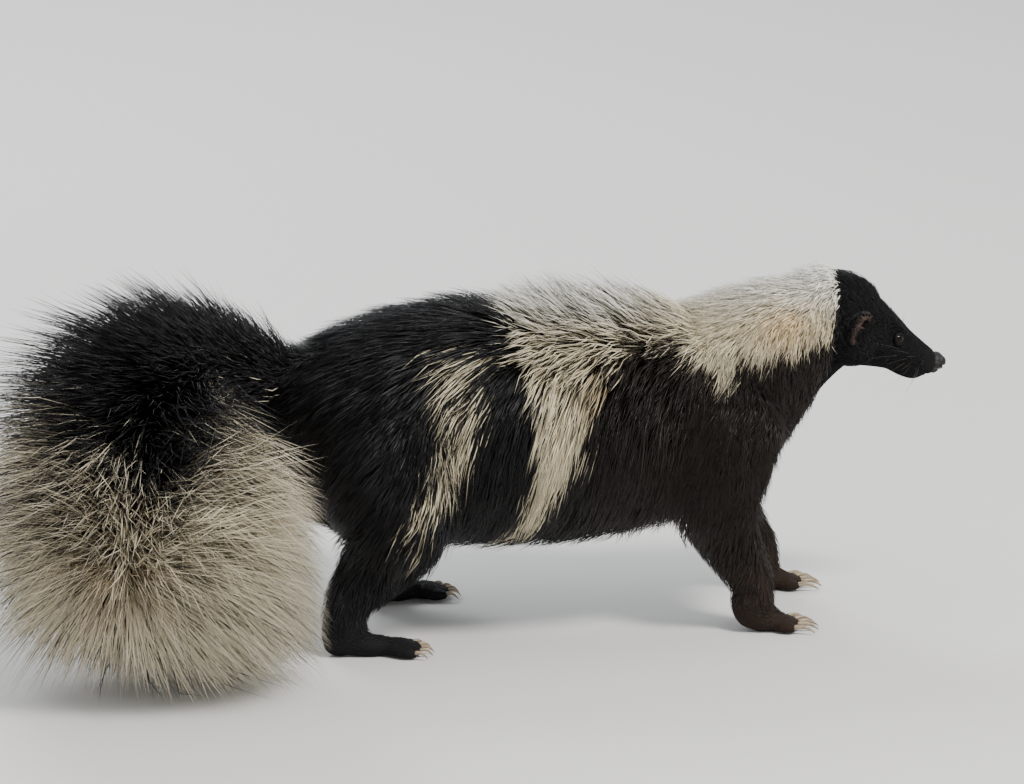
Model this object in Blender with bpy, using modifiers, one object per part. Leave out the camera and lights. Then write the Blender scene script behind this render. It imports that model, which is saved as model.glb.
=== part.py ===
"""A striped skunk, life size, standing with its head low and its plumed tail swept to its right side.

Metres, +X towards the nose, +Y to the animal's left, +Z up. The soles stand on z = 0.
"""

import math
import random

import bmesh
import bpy
from mathutils import Matrix, Vector
from mathutils.bvhtree import BVHTree

GAP = 0.0003  # between parts that touch
SEED = 7
SIDES = {"right": -1, "left": 1}

# The bare trunk, from the tail's root to the back of the head:
# along X, height of the centre, half width, reach above the centre, reach below it.
TRUNK = (
    (-0.163, 0.130, 0.012, 0.012, 0.012),
    (-0.155, 0.128, 0.028, 0.024, 0.028),
    (-0.140, 0.121, 0.043, 0.037, 0.042),
    (-0.110, 0.115, 0.054, 0.050, 0.052),
    (-0.065, 0.112, 0.058, 0.061, 0.055),
    (-0.015, 0.110, 0.060, 0.060, 0.056),
    (0.035, 0.110, 0.055, 0.057, 0.052),
    (0.080, 0.119, 0.046, 0.049, 0.045),
    (0.108, 0.137, 0.037, 0.041, 0.036),
    (0.130, 0.153, 0.0305, 0.0325, 0.0290),
    (0.150, 0.165, 0.0262, 0.0255, 0.0255),
    (0.164, 0.170, 0.0250, 0.0225, 0.0250),
    (0.178, 0.172, 0.0120, 0.0120, 0.0120),
)
# The coat's depth from the skin to its tips: along X, on the back, low on the flank.
COAT_DEPTH = (
    (-0.170, 0.016, 0.010),
    (-0.110, 0.018, 0.012),
    (-0.060, 0.020, 0.013),
    (-0.015, 0.017, 0.013),
    (0.035, 0.025, 0.012),
    (0.085, 0.017, 0.010),
    (0.117, 0.017, 0.008),
    (0.140, 0.011, 0.005),
    (0.162, 0.005, 0.003),
)
BODY_CORE_SHARE = 0.45  # how far the solid core of the back and flanks reaches towards the coat's tips

# Locks of the long coat: length, width, thickness.
BODY_LOCKS = {
    "nape": (0.040, 0.022, 0.0070),
    "back": (0.060, 0.032, 0.0090),
    "flank": (0.055, 0.030, 0.0080),
    "thigh": (0.038, 0.025, 0.0070),
}
LOCK_ROWS = (0.140, 0.112, 0.074, 0.034, -0.006, -0.046, -0.086, -0.122)  # along X, of their roots
LOCK_TURN = math.radians(28)  # between one lock and the next round the trunk
LOCK_REACH = 4  # locks on each side of the back's middle
LOCK_SINK = 0.0045  # how deep a root goes into the core
LOCK_STEPS = 3  # from a body lock's root to its tip
PLUME_STEPS = 4  # from a plume lock's root to its tip
LOCK_SPREAD = 0.12  # how much lengths and widths vary
BACK_TURN = math.radians(50)  # how far round from the top the longer locks of the back grow
ROOT_SCATTER = 0.12  # of a step, how far a root is from its even place
LOCK_YAW = math.radians(9)  # how far a lock turns from the lie of the coat
THIGH_ROWS = (1.8, 2.5)  # where locks are rooted down a thigh, in rows of its leg's table
THIGH_WAYS = (-0.8, 0.8)  # how far back or ahead of sideways they are
THIGH_LIFT = 0.004

# The head's own frame: origin at the back of the skull, u towards the nose, w up from that line.
HEAD_ORIGIN = Vector((0.1452, 0.0, 0.1747))
HEAD_PITCH = math.radians(-28)
HEAD_U = Vector((math.cos(HEAD_PITCH), 0, math.sin(HEAD_PITCH)))
HEAD_W = Vector((-math.sin(HEAD_PITCH), 0, math.cos(HEAD_PITCH)))
HEAD_V = Vector((0, 1, 0))
# Along u, offset of the centre along w, half width, reach above, reach below.
HEAD = (
    (-0.012, -0.001, 0.014, 0.014, 0.014),
    (-0.006, -0.001, 0.0225, 0.0205, 0.0230),
    (0.006, -0.001, 0.0268, 0.0233, 0.0250),
    (0.020, -0.001, 0.0275, 0.0214, 0.0238),
    (0.034, -0.001, 0.0232, 0.0184, 0.0204),
    (0.046, -0.001, 0.0176, 0.0150, 0.0166),
    (0.057, -0.001, 0.0134, 0.0117, 0.0138),
    (0.067, -0.001, 0.0110, 0.0093, 0.0120),
    (0.074, -0.001, 0.0088, 0.0076, 0.0096),
    (0.0775, -0.001, 0.0050, 0.0048, 0.0058),
)
# Swellings on the head: centre (u, v, w) and radii; each with v above 0 is on both sides.
HEAD_MASSES = (
    ((0.019, 0.0180, -0.0085), (0.0200, 0.0120, 0.0145)),  # cheek
    ((0.044, 0.0112, 0.0082), (0.0100, 0.0048, 0.0038)),  # brow
    ((0.0675, 0.0056, -0.0034), (0.0112, 0.0062, 0.0066)),  # upper lip
    ((0.0600, 0.0, -0.0118), (0.0140, 0.0078, 0.0044)),  # chin
)
EYE_PLACE = Vector((0.0462, 0.0144, 0.0042))
EYE_RADIUS = 0.0038
LID_RADIUS = 0.00075
LID_SIDES = 5
LID_MARKS = 12  # round the eye
LID_PLACE = (0.62, 0.86, 0.78)  # in front of the eye's centre, out from it, height as a share of length
EAR_PLACE = Vector((0.0205, 0.0268, 0.0000))
EAR_SIZE = Vector((0.0042, 0.0086, 0.0098))  # half thickness, half width, half height
EAR_HOLLOW = Vector((0.0040, 0.0069, 0.0078))  # the same of the cup
EAR_HOLLOW_AHEAD = 0.0029  # how far the cup is in front of the ear's middle
EAR_RISE = 0.0010  # how far the ear's middle is above its place
EAR_HOLLOW_RISE = 0.0018
NOSE_PLACE = Vector((0.0768, 0.0, 0.0012))
NOSE_SIZE = Vector((0.0042, 0.0056, 0.0046))
NOSTRIL_PLACE = Vector((0.0034, 0.0024, -0.0006))  # from the nose's centre
NOSTRIL_SIZE = (0.0022, 0.0011, 0.0010)
LIP_CORNER = (0.0500, 0.0125, -0.0085)  # a corner of the mouth, in the head's frame
LIP_FRONT = (0.0745, 0.0, -0.0062)
LIP_BOW = 0.0012  # how far the line of the lips rises between them
LIP_MARKS = 7  # from the front to a corner
LIP_RADIUS = 0.00045

# The cuts between head and neck and between neck and torso: a point and the way to the front.
NAPE_SEAM = Vector((0.1500, 0, 0.160))
NAPE_WAY = (HEAD_U + Vector((1, 0, 0))).normalized()
NECK_SEAM = Vector((0.1060, 0, 0.130))
NECK_WAY = Vector((0.88, 0, 0.46)).normalized()

# Legs from the joint inside the trunk to the wrist or heel:
# x, y, z, half width, reach to the front, reach to the back.
FORE_LEG = (
    (0.090, 0.026, 0.132, 0.014, 0.016, 0.016),
    (0.088, 0.032, 0.116, 0.021, 0.027, 0.027),
    (0.083, 0.038, 0.094, 0.0195, 0.024, 0.025),
    (0.081, 0.041, 0.070, 0.0160, 0.0180, 0.0205),
    (0.088, 0.042, 0.047, 0.0125, 0.0140, 0.0150),
    (0.097, 0.042, 0.027, 0.0105, 0.0112, 0.0115),
    (0.100, 0.042, 0.008, 0.0095, 0.0100, 0.0100),
)
HIND_LEG = (
    (-0.105, 0.030, 0.128, 0.014, 0.018, 0.018),
    (-0.104, 0.036, 0.113, 0.024, 0.035, 0.034),
    (-0.100, 0.045, 0.091, 0.023, 0.033, 0.033),
    (-0.096, 0.050, 0.067, 0.0190, 0.0250, 0.0270),
    (-0.109, 0.052, 0.045, 0.0140, 0.0175, 0.0185),
    (-0.121, 0.053, 0.027, 0.0110, 0.0120, 0.0120),
    (-0.125, 0.053, 0.008, 0.0095, 0.0100, 0.0100),
)
LEG_COAT = 0.0030
ANKLE_HEIGHT = 0.022
# How far each foot stands ahead of its leg's plain place.
STEP = {
    ("fore", "right"): 0.004,
    ("fore", "left"): 0.024,
    ("hind", "right"): -0.008,
    ("hind", "left"): 0.026,
}
# The part of the body that is cut off as a leg: centre and radii of an ellipsoid.
LEG_REGION = {
    "fore": (Vector((0.088, 0.062, 0.060)), Vector((0.046, 0.044, 0.068))),
    "hind": (Vector((-0.104, 0.072, 0.072)), Vector((0.054, 0.050, 0.080))),
}

# Feet: forward, up, then radii of each mass of the sole, measured from the wrist or heel.
FORE_FOOT = (
    ((0.000, 0.016), (0.0128, 0.0124, 0.0160)),
    ((0.007, 0.0060), (0.0130, 0.0108, 0.0076)),
    ((0.015, 0.0045), (0.0080, 0.0118, 0.0060)),
)
HIND_FOOT = (
    ((0.000, 0.016), (0.0128, 0.0124, 0.0160)),
    ((-0.004, 0.0065), (0.0100, 0.0085, 0.0080)),
    ((0.012, 0.0055), (0.0190, 0.0092, 0.0072)),
    ((0.028, 0.0045), (0.0100, 0.0118, 0.0060)),
)
# Toes: forward place of the root, spacing, length, radius, claw length, claw radius.
TOES = {
    "fore": (0.0165, 0.0048, 0.0110, 0.0034, 0.0130, 0.00150),
    "hind": (0.0310, 0.0047, 0.0120, 0.0034, 0.0080, 0.00125),
}
TOE_SHORTER = (0.0042, 0.0010, 0.0, 0.0008, 0.0034)  # from the inner toe to the outer one
FLOOR_CLEARANCE = 0.0008

# The tail's bones: x, y, z, radius of the flesh, length of the hair.
TAIL = (
    (-0.140, 0.000, 0.134, 0.0120, 0.022),
    (-0.166, -0.002, 0.145, 0.0130, 0.042),
    (-0.196, -0.010, 0.150, 0.0115, 0.068),
    (-0.222, -0.030, 0.143, 0.0095, 0.093),
    (-0.242, -0.058, 0.124, 0.0080, 0.110),
    (-0.253, -0.086, 0.099, 0.0060, 0.114),
    (-0.259, -0.114, 0.082, 0.0040, 0.090),
    (-0.262, -0.136, 0.074, 0.0030, 0.040),
)
TAIL_CUTS = (0.34, 0.62)  # where the tail is parted, as shares of its length
TAIL_CUT_ANGLE = math.radians(58)  # the cuts are cones that open along the lie of the hair
TAIL_CORE_SHARE = 0.38  # of the hair's length, the reach of the core
PLUME_WHORLS = 7  # whorls of locks along the tail
PLUME_ROOTS = (0.17, 0.94)  # where the first and last are rooted, as shares of the tail's length
PLUME_WIDTH = 0.036  # a plume lock's width at its widest
PLUME_THICKNESS = 0.013
PLUME_SPACING = 0.040  # between roots round the tail
PLUME_LEAN = (math.radians(34), math.radians(68))  # from the tail's own line, at its root and near its end
PLUME_LEAN_FULL = 0.8  # the share of the tail's length from which locks lean the most
PLUME_SCATTER = 0.15  # of a step, how far a root is from its even place
PLUME_LEAST = 5  # locks in a whorl
TIP_LOCKS = 5  # locks that close the tail's end
TIP_LENGTH = 0.076
TIP_WIDTH = 0.024
TIP_LEAN = math.radians(24)
TIP_ROOT = 0.012  # how far before the tail's end they are rooted
TIP_RADIUS = 0.004
CONE_HEIGHT = 0.40
CONE_SIDES = 16
CONE_SET_BACK = 0.006  # how far before its place on the tail's line a cut's apex is
FLOOR_MARGIN = 0.009  # height at which hair that would reach the floor turns outwards

# How finely each form is kept before it is cut and its locks are joined.
HEAD_TRIANGLES = 1200
CORE_TRIANGLES = 960
TAIL_CORE_TRIANGLES = 400
FOOT_TRIANGLES = 250

COLOURS = {
    "black_coat": ((0.018, 0.016, 0.016, 1), 0.55),
    "white_coat": ((0.78, 0.72, 0.56, 1), 0.60),
    "plume": ((0.20, 0.18, 0.15, 1), 0.60),
    "eye": ((0.010, 0.007, 0.006, 1), 0.08),
    "nose": ((0.045, 0.034, 0.034, 1), 0.38),
    "claw": ((0.30, 0.25, 0.19, 1), 0.35),
}


def clear_scene():
    """Removes what the startup file holds."""
    for obj in list(bpy.data.objects):
        bpy.data.objects.remove(obj)


def make_collection():
    """The collection that the skunk's parts go in."""
    made = bpy.data.collections.new("striped_skunk")
    bpy.context.scene.collection.children.link(made)
    return made


def material(name):
    """A Principled material of COLOURS, made once."""
    found = bpy.data.materials.get(name)
    if found:
        return found
    made = bpy.data.materials.new(name)
    made.use_nodes = True
    shader = made.node_tree.nodes["Principled BSDF"]
    shader.inputs["Base Color"].default_value = COLOURS[name][0]
    shader.inputs["Roughness"].default_value = COLOURS[name][1]
    return made


def paint(obj, name):
    """Gives the whole object one material."""
    obj.data.materials.clear()
    obj.data.materials.append(material(name))


def object_of(name, bm):
    """A new object of the skunk's collection that holds the bmesh."""
    mesh = bpy.data.meshes.new(name)
    bm.to_mesh(mesh)
    bm.free()
    obj = bpy.data.objects.new(name, mesh)
    PARTS.objects.link(obj)
    return obj


def between(rows, share):
    """A smooth curve through rows of numbers, read at share 0 to 1 of its length in rows."""
    place = share * (len(rows) - 1)
    i = min(int(place), len(rows) - 2)
    t = place - i
    a, b, c, d = (rows[min(max(k, 0), len(rows) - 1)] for k in (i - 1, i, i + 1, i + 2))
    return tuple(
        0.5 * (2 * q + (r - p) * t + (2 * p - 5 * q + 4 * r - s) * t * t + (3 * q - p - 3 * r + s) * t**3)
        for p, q, r, s in zip(a, b, c, d)
    )


def row_at(rows, x):
    """The numbers of a table of rows at its first column's value x, read straight between rows."""
    if x <= rows[0][0]:
        return rows[0][1:]
    for low, high in zip(rows, rows[1:]):
        if x <= high[0]:
            t = (x - low[0]) / (high[0] - low[0])
            return tuple(p + (q - p) * t for p, q in zip(low[1:], high[1:]))
    return rows[-1][1:]


def loft(name, rings):
    """A closed skin over rings of points, each ring as many points, with a point at each end's centre."""
    bm = bmesh.new()
    rows = [[bm.verts.new(p) for p in ring] for ring in rings]
    count = len(rows[0])
    for low, high in zip(rows, rows[1:]):
        for k in range(count):
            n = (k + 1) % count
            bm.faces.new((low[k], low[n], high[n], high[k]))
    for row, flip in ((rows[0], True), (rows[-1], False)):
        centre = bm.verts.new(sum((v.co for v in row), Vector()) / count)
        for k in range(count):
            n = (k + 1) % count
            bm.faces.new((centre, row[n], row[k]) if flip else (centre, row[k], row[n]))
    bmesh.ops.recalc_face_normals(bm, faces=bm.faces)
    return object_of(name, bm)


def ring(centre, across, up, half_width, above, below, sides):
    """Points round an egg-shaped section that is half_width to each side, above and below its centre."""
    made = []
    for k in range(sides):
        angle = 2 * math.pi * k / sides
        rise = above if math.cos(angle) > 0 else below
        made.append(centre + across * half_width * math.sin(angle) + up * rise * math.cos(angle))
    return made


def swept(name, path, reference, steps, sides):
    """A limb lofted along a path of (centre, half width, above, below), with its width along reference."""
    rows = [(*centre, *sizes) for centre, *sizes in path]
    marks = [between(rows, k / steps) for k in range(steps + 1)]
    rings = []
    for k, row in enumerate(marks):
        before, after = marks[max(k - 1, 0)], marks[min(k + 1, steps)]
        along = (Vector(after[:3]) - Vector(before[:3])).normalized()
        across = (reference - along * along.dot(reference)).normalized()
        up = along.cross(across)
        rings.append(ring(Vector(row[:3]), across, up, *row[3:], sides))
    return loft(name, rings)


def ellipsoid(name, centre, radii, axes=None, segments=16, rings_count=10):
    """A UV sphere stretched to radii along axes, which are the world's if none are given."""
    bm = bmesh.new()
    bmesh.ops.create_uvsphere(bm, u_segments=segments, v_segments=rings_count, radius=1)
    turn = Matrix(axes).transposed() if axes else Matrix.Identity(3)
    for vert in bm.verts:
        vert.co = turn @ Vector(c * r for c, r in zip(vert.co, radii)) + Vector(centre)
    return object_of(name, bm)


def applied(obj):
    """Makes the object's mesh what its modifiers show, and clears them."""
    graph = bpy.context.evaluated_depsgraph_get()
    graph.update()
    made = bpy.data.meshes.new_from_object(obj.evaluated_get(graph))
    obj.modifiers.clear()
    obj.data = made
    return obj


def joined(name, pieces):
    """One object that holds the faces of all the pieces, which are removed."""
    bm = bmesh.new()
    for piece in pieces:
        bm.from_mesh(piece.data)
        bpy.data.objects.remove(piece)
    return object_of(name, bm)


def fused(name, pieces, voxel, smooth):
    """The pieces grown into one smooth closed form."""
    obj = joined(name, pieces)
    remesh = obj.modifiers.new("Fuse", "REMESH")
    remesh.mode = "VOXEL"
    remesh.voxel_size = voxel
    soften = obj.modifiers.new("Soften", "SMOOTH")
    soften.factor = 0.5
    soften.iterations = smooth
    return applied(obj)


def thinned(obj, triangles):
    """The same form in about that many triangles."""
    now = sum(len(face.vertices) - 2 for face in obj.data.polygons)
    if now > triangles:
        fewer = obj.modifiers.new("Fewer", "DECIMATE")
        fewer.ratio = triangles / now
        applied(obj)
    return obj


def copy_of(obj, name):
    """A second object with its own copy of the mesh."""
    made = bpy.data.objects.new(name, obj.data.copy())
    PARTS.objects.link(made)
    return made


def inflated(obj, by):
    """A copy of the object grown by a small distance along its normals."""
    made = copy_of(obj, obj.name + "_grown")
    normals = [vert.normal.copy() for vert in made.data.vertices]
    for vert, normal in zip(made.data.vertices, normals):
        vert.co += normal * by
    return made


def cut(obj, tool, operation="DIFFERENCE", solver="EXACT"):
    """Applies a Boolean of the tool to the object and removes the tool."""
    boolean = obj.modifiers.new("Cut", "BOOLEAN")
    boolean.operation = operation
    boolean.object = tool
    boolean.solver = solver
    applied(obj)
    bpy.data.objects.remove(tool)
    return obj


def largest_only(obj):
    """Drops every loose scrap but the largest closed surface."""
    bm = bmesh.new()
    bm.from_mesh(obj.data)
    left = set(bm.faces)
    islands = []
    while left:
        found, edge = set(), [left.pop()]
        while edge:
            face = edge.pop()
            found.add(face)
            for near in (f for e in face.edges for f in e.link_faces if f in left):
                left.discard(near)
                edge.append(near)
        islands.append(found)
    keep = max(islands, key=lambda faces: sum(face.calc_area() for face in faces))
    drop = [face for island in islands if island is not keep for face in island]
    bmesh.ops.delete(bm, geom=drop, context="FACES")
    bm.to_mesh(obj.data)
    bm.free()
    return obj


def half_space(point, normal):
    """A large block that fills the side of a plane that the normal points to."""
    bm = bmesh.new()
    bmesh.ops.create_cube(bm, size=1.2)
    turn = normal.normalized().to_track_quat("Z", "Y").to_matrix().to_4x4()
    place = Matrix.Translation(point + normal.normalized() * 0.6) @ turn
    bmesh.ops.transform(bm, matrix=place, verts=bm.verts)
    return object_of("half_space", bm)


def head_point(u, v, w):
    """A place of the head's own frame, in the skunk's."""
    return HEAD_ORIGIN + HEAD_U * u + HEAD_V * v + HEAD_W * w


def trunk_masses(share):
    """The trunk and neck, grown by that share of the coat's depth."""
    path = []
    for x, height, half_width, above, below in TRUNK:
        back, flank = row_at(COAT_DEPTH, x)
        grown = (half_width + share * (0.6 * flank + 0.4 * back), above + share * back, below + flank)
        path.append((Vector((x, 0, height)), *grown))
    return [swept("trunk", path, Vector((0, 1, 0)), 44, 28)]


def leg_path(which, side, extra):
    """A leg's rows, moved to its step and grown."""
    rows = FORE_LEG if which == "fore" else HIND_LEG
    top, sole = rows[0][2], rows[-1][2]
    path = []
    for x, y, z, half_width, front, back in rows:
        lowered = min(1.0, (top - z) / (top - sole - 0.02))
        centre = Vector((x + STEP[which, side] * lowered**1.3, SIDES[side] * y, z))
        path.append((centre, half_width + extra, front + extra, back + extra))
    return path


def leg_mass(which, side, extra):
    """One leg down to its sole, grown by extra."""
    return swept(f"{which}_{side}", leg_path(which, side, extra), Vector((0, 1, 0)), 24, 18)


def head_masses(extra):
    """The head's form, grown by extra."""
    path = [
        (head_point(u, 0, w), half_width + extra, above + extra, below + extra)
        for u, w, half_width, above, below in HEAD
    ]
    masses = [swept("skull", path, HEAD_V, 26, 24)]
    for (u, v, w), radii in HEAD_MASSES:
        for side in (-1, 1) if v else (1,):
            grown = [r + extra for r in radii]
            masses.append(ellipsoid("swelling", head_point(u, side * v, w), grown, (HEAD_U, HEAD_V, HEAD_W)))
    return masses


def tail_path(share):
    """The tail's rows, with a core that reaches that share of the hair's length past the flesh."""
    return [(Vector(row[:3]), *[row[3] + share * row[4]] * 3) for row in TAIL]


def surface_of(obj):
    """The object's faces, ready for nearest points, rays and crossings."""
    return BVHTree.FromPolygons([v.co for v in obj.data.vertices], [p.vertices for p in obj.data.polygons])


def lock(places, ups, width, thickness):
    """A flat lock with a ridge on its outer side, widest in its first half and drawn to a point."""
    bm = bmesh.new()
    last = len(places) - 1
    rows = []
    for k in range(last):
        t = k / last
        along = (places[k + 1] - places[max(k - 1, 0)]).normalized()
        across = along.cross(ups[k]).normalized()
        rise = across.cross(along)
        half = 0.5 * width * math.sin(math.pi * (0.28 + 0.72 * t)) ** 0.8
        thick = thickness * (1 - t) ** 0.5
        low = places[k] - rise * thick * 0.35
        corners = (low - across * half, low + across * half, places[k] + rise * thick * 0.65)
        rows.append([bm.verts.new(p) for p in corners])
    for near, far in zip(rows, rows[1:]):
        for k in range(3):
            n = (k + 1) % 3
            bm.faces.new((near[k], near[n], far[n], far[k]))
    bm.faces.new(reversed(rows[0]))
    tip = bm.verts.new(places[last])
    for k in range(3):
        bm.faces.new((rows[-1][k], rows[-1][(k + 1) % 3], tip))
    bmesh.ops.triangulate(bm, faces=bm.faces)
    bmesh.ops.recalc_face_normals(bm, faces=bm.faces)
    return object_of("lock", bm)


def varied(dice, size):
    """A size made a little larger or smaller."""
    return size * (1 + LOCK_SPREAD * dice.uniform(-1, 1))


def lie_of(normal):
    """Which way the body's hair points where the skin faces that way: backwards, and down on the flanks."""
    side = abs(normal.y)
    return Vector((-1.0 + 0.40 * side, 0.10 * normal.y, -0.80 * side - 0.10 * max(0, -normal.z)))


def walked(surface, root, length, lift, turn):
    """A lock's places and outward directions from its sunk root along the surface to its lifted tip."""
    place, normal, _, _ = surface.find_nearest(root)
    places, ups = [], []
    for k in range(LOCK_STEPS + 1):
        t = k / LOCK_STEPS
        places.append(place + normal * ((lift + LOCK_SINK) * t**0.85 - LOCK_SINK))
        ups.append(normal)
        way = lie_of(normal)
        way = (way - normal * way.dot(normal)).normalized()
        way = Matrix.Rotation(turn, 3, normal) @ way
        place, normal, _, _ = surface.find_nearest(place + way * length / LOCK_STEPS)
    return places, ups


def clear_of(obj, surfaces):
    """Whether a lock crosses none of the surfaces."""
    own = surface_of(obj)
    return not any(own.overlap(other) for other in surfaces)


def body_lock(dice, surface, root, kind, lift, keep_off):
    """One lock of the body, shortened until it is clear of the surfaces to keep off; none if it never is."""
    length, width, thickness = (varied(dice, size) for size in BODY_LOCKS[kind])
    turn = LOCK_YAW * dice.uniform(-1, 1)
    for shorter in (1.0, 0.75, 0.5):
        made = lock(*walked(surface, root, length * shorter, lift * shorter, turn), width, thickness)
        if clear_of(made, keep_off):
            return [made]
        bpy.data.objects.remove(made)
    return []


def body_locks(surface, keep_off):
    """Overlapping rows of locks on neck, back and flanks, then down the thighs."""
    dice = random.Random(SEED)
    made = []
    for row, x in enumerate(LOCK_ROWS):
        height = row_at([r[:2] for r in TRUNK], x)[0]
        back, flank = row_at(COAT_DEPTH, x)
        for k in range(-LOCK_REACH, LOCK_REACH + 1):
            turn = LOCK_TURN * (k + (0.5 if row % 2 else 0.0) + ROOT_SCATTER * dice.uniform(-1, 1))
            out = Vector((0, math.sin(turn), math.cos(turn)))
            root = surface.ray_cast(Vector((x, 0, height)), out)[0]
            side = min(1.0, abs(turn) / math.radians(90))
            lift = (back + (flank - back) * side) * (1 - BODY_CORE_SHARE) + 0.001
            kind = "nape" if x > NECK_SEAM.x else "back" if abs(turn) < BACK_TURN else "flank"
            made += body_lock(dice, surface, root, kind, lift, keep_off)
    for side in SIDES:
        path = [tuple(row[0]) for row in leg_path("hind", side, 0)]
        for place in THIGH_ROWS:
            centre = Vector(between(path, place / (len(path) - 1)))
            for ahead in THIGH_WAYS:
                out = Vector((ahead, SIDES[side], 0.15))
                root = surface.ray_cast(centre, out.normalized())[0]
                made += body_lock(dice, surface, root, "thigh", THIGH_LIFT, keep_off)
    return made


def ankle_of(which, side):
    """Where a leg meets its foot."""
    path = leg_path(which, side, 0)
    near = min(path, key=lambda row: abs(row[0].z - ANKLE_HEIGHT - 0.005))
    return Vector((near[0].x, near[0].y, 0))


def foot_frame(which, side):
    """A foot's ankle, its forward direction and its outer side."""
    toe_out = math.radians(8 if which == "hind" else 4) * SIDES[side]
    forward = Vector((math.cos(toe_out), math.sin(toe_out), 0))
    return ankle_of(which, side), forward, Vector((-forward.y, forward.x, 0)) * SIDES[side]


def claw(name, start, forward, length, radius, extra=0.0):
    """A curved, tapered claw that ends just above the floor."""
    low = max(start.z - FLOOR_CLEARANCE - radius * 0.3, 0.001)
    marks, rings = 4, []
    across = forward.cross(Vector((0, 0, 1))).normalized()
    for k in range(marks):
        t = k / (marks - 1)
        centre = start + forward * length * (t - 0.10 * t * t)
        centre.z += 0.0009 * math.sin(math.pi * t) - low * t**2.2
        size = radius * (1 - 0.82 * t**1.4) + extra
        up = (Vector((0, 0, 1)) + forward * t * 0.9).normalized()
        rings.append(ring(centre, across, up, size * 0.8, size, size, 5))
    return loft(name, rings)


def make_foot(which, side):
    """A foot with five toes and its claws, cut flat where it stands."""
    ankle, forward, outer = foot_frame(which, side)
    up = Vector((0, 0, 1))
    axes = (forward, outer, up)
    masses = [
        ellipsoid("sole", ankle + forward * f + up * h, radii, axes)
        for (f, h), radii in (FORE_FOOT if which == "fore" else HIND_FOOT)
    ]
    root, spacing, length, radius, claw_length, claw_radius = TOES[which]
    sockets = []
    for k, shorter in enumerate(TOE_SHORTER):
        spread = (k - 2) * math.radians(7)
        way = (forward * math.cos(spread) + outer * math.sin(spread)).normalized()
        toe_root = ankle + forward * (root - shorter) + outer * (k - 2) * spacing
        middle = toe_root + way * length * 0.45 + up * 0.0034
        toe_axes = (way, up.cross(way).normalized(), up)
        masses.append(ellipsoid("toe", middle, (length * 0.62, radius * 0.95, radius * 1.1), toe_axes, 12, 8))
        start = middle + way * length * 0.40 + up * 0.0006
        name = f"claw_{which}_{side}_{k + 1}"
        sockets.append(claw("socket", start, way, claw_length, claw_radius, GAP))
        made = claw(name, start, way, claw_length, claw_radius)
        paint(made, "claw")
    foot = thinned(fused(f"foot_{which}_{side}", masses, 0.0011, 3), FOOT_TRIANGLES)
    cut(foot, half_space(Vector(), -up))
    cut(foot, half_space(Vector((0, 0, ANKLE_HEIGHT)), up))
    for socket in sockets:
        cut(foot, socket)
    largest_only(foot)
    paint(foot, "black_coat")
    return foot


def eye_point(side):
    """The centre of an eye."""
    return head_point(EYE_PLACE.x, EYE_PLACE.y * SIDES[side], EYE_PLACE.z)


def eye_look(side):
    """Where an eye looks: to the side, a little ahead and up."""
    return (HEAD_V * SIDES[side] * 0.80 + HEAD_U * 0.50 + HEAD_W * 0.30).normalized()


def lid_ring(side):
    """The lids as one soft almond-shaped rim in front of the eye."""
    look = eye_look(side)
    along = (HEAD_U - look * look.dot(HEAD_U)).normalized()
    up = look.cross(along)
    ahead, away, height = LID_PLACE
    rings = []
    for k in range(LID_MARKS):
        angle = 2 * math.pi * k / LID_MARKS
        out = along * math.cos(angle) + up * math.sin(angle) * height
        centre = eye_point(side) + (look * ahead + out * away) * EYE_RADIUS
        rings.append(ring(centre, out.normalized(), look, *[LID_RADIUS] * 3, LID_SIDES))
    bm = bmesh.new()
    rows = [[bm.verts.new(p) for p in points] for points in rings]
    for low, high in zip(rows, rows[1:] + rows[:1]):
        for k in range(LID_SIDES):
            n = (k + 1) % LID_SIDES
            bm.faces.new((low[k], low[n], high[n], high[k]))
    bmesh.ops.recalc_face_normals(bm, faces=bm.faces)
    return object_of("lids", bm)


def ear_frame(side):
    """An ear's centre, then the way its cup faces, its width and its height."""
    place = head_point(EAR_PLACE.x, EAR_PLACE.y * SIDES[side], EAR_PLACE.z)
    tall = (HEAD_W * 0.62 + HEAD_V * SIDES[side] * 0.66 - HEAD_U * 0.42).normalized()
    face = HEAD_U * 0.72 + HEAD_V * SIDES[side] * 0.62 + HEAD_W * 0.10
    face = (face - tall * tall.dot(face)).normalized()
    return place, (face, tall.cross(face), tall)


def ear_mass(side, extra=0.0):
    """An ear before its cup is cut, grown by extra."""
    place, axes = ear_frame(side)
    return ellipsoid(f"ear_{side}", place + axes[2] * EAR_RISE, [r + extra for r in EAR_SIZE], axes, 14, 9)


def make_ear(side, head):
    """A short round ear with its cup open to the front and outside."""
    ear = ear_mass(side)
    place, axes = ear_frame(side)
    middle = place + axes[0] * EAR_HOLLOW_AHEAD + axes[2] * EAR_HOLLOW_RISE
    cut(ear, ellipsoid("cup", middle, EAR_HOLLOW, axes, 12, 8))
    cut(ear, inflated(head, GAP))
    largest_only(ear)
    paint(ear, "black_coat")
    return ear


def mouth_line():
    """Points along the lips, from one corner of the mouth round below the nose to the other."""
    points = []
    for k in range(-LIP_MARKS, LIP_MARKS + 1):
        t = abs(k) / LIP_MARKS
        u = LIP_FRONT[0] + (LIP_CORNER[0] - LIP_FRONT[0]) * t**1.6
        v = LIP_CORNER[1] * math.sin(math.pi / 2 * min(1, t * 1.05)) * (1 if k > 0 else -1)
        w = LIP_FRONT[2] + (LIP_CORNER[2] - LIP_FRONT[2]) * t + LIP_BOW * math.sin(math.pi * t)
        points.append(head_point(u, v, w))
    return points


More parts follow.
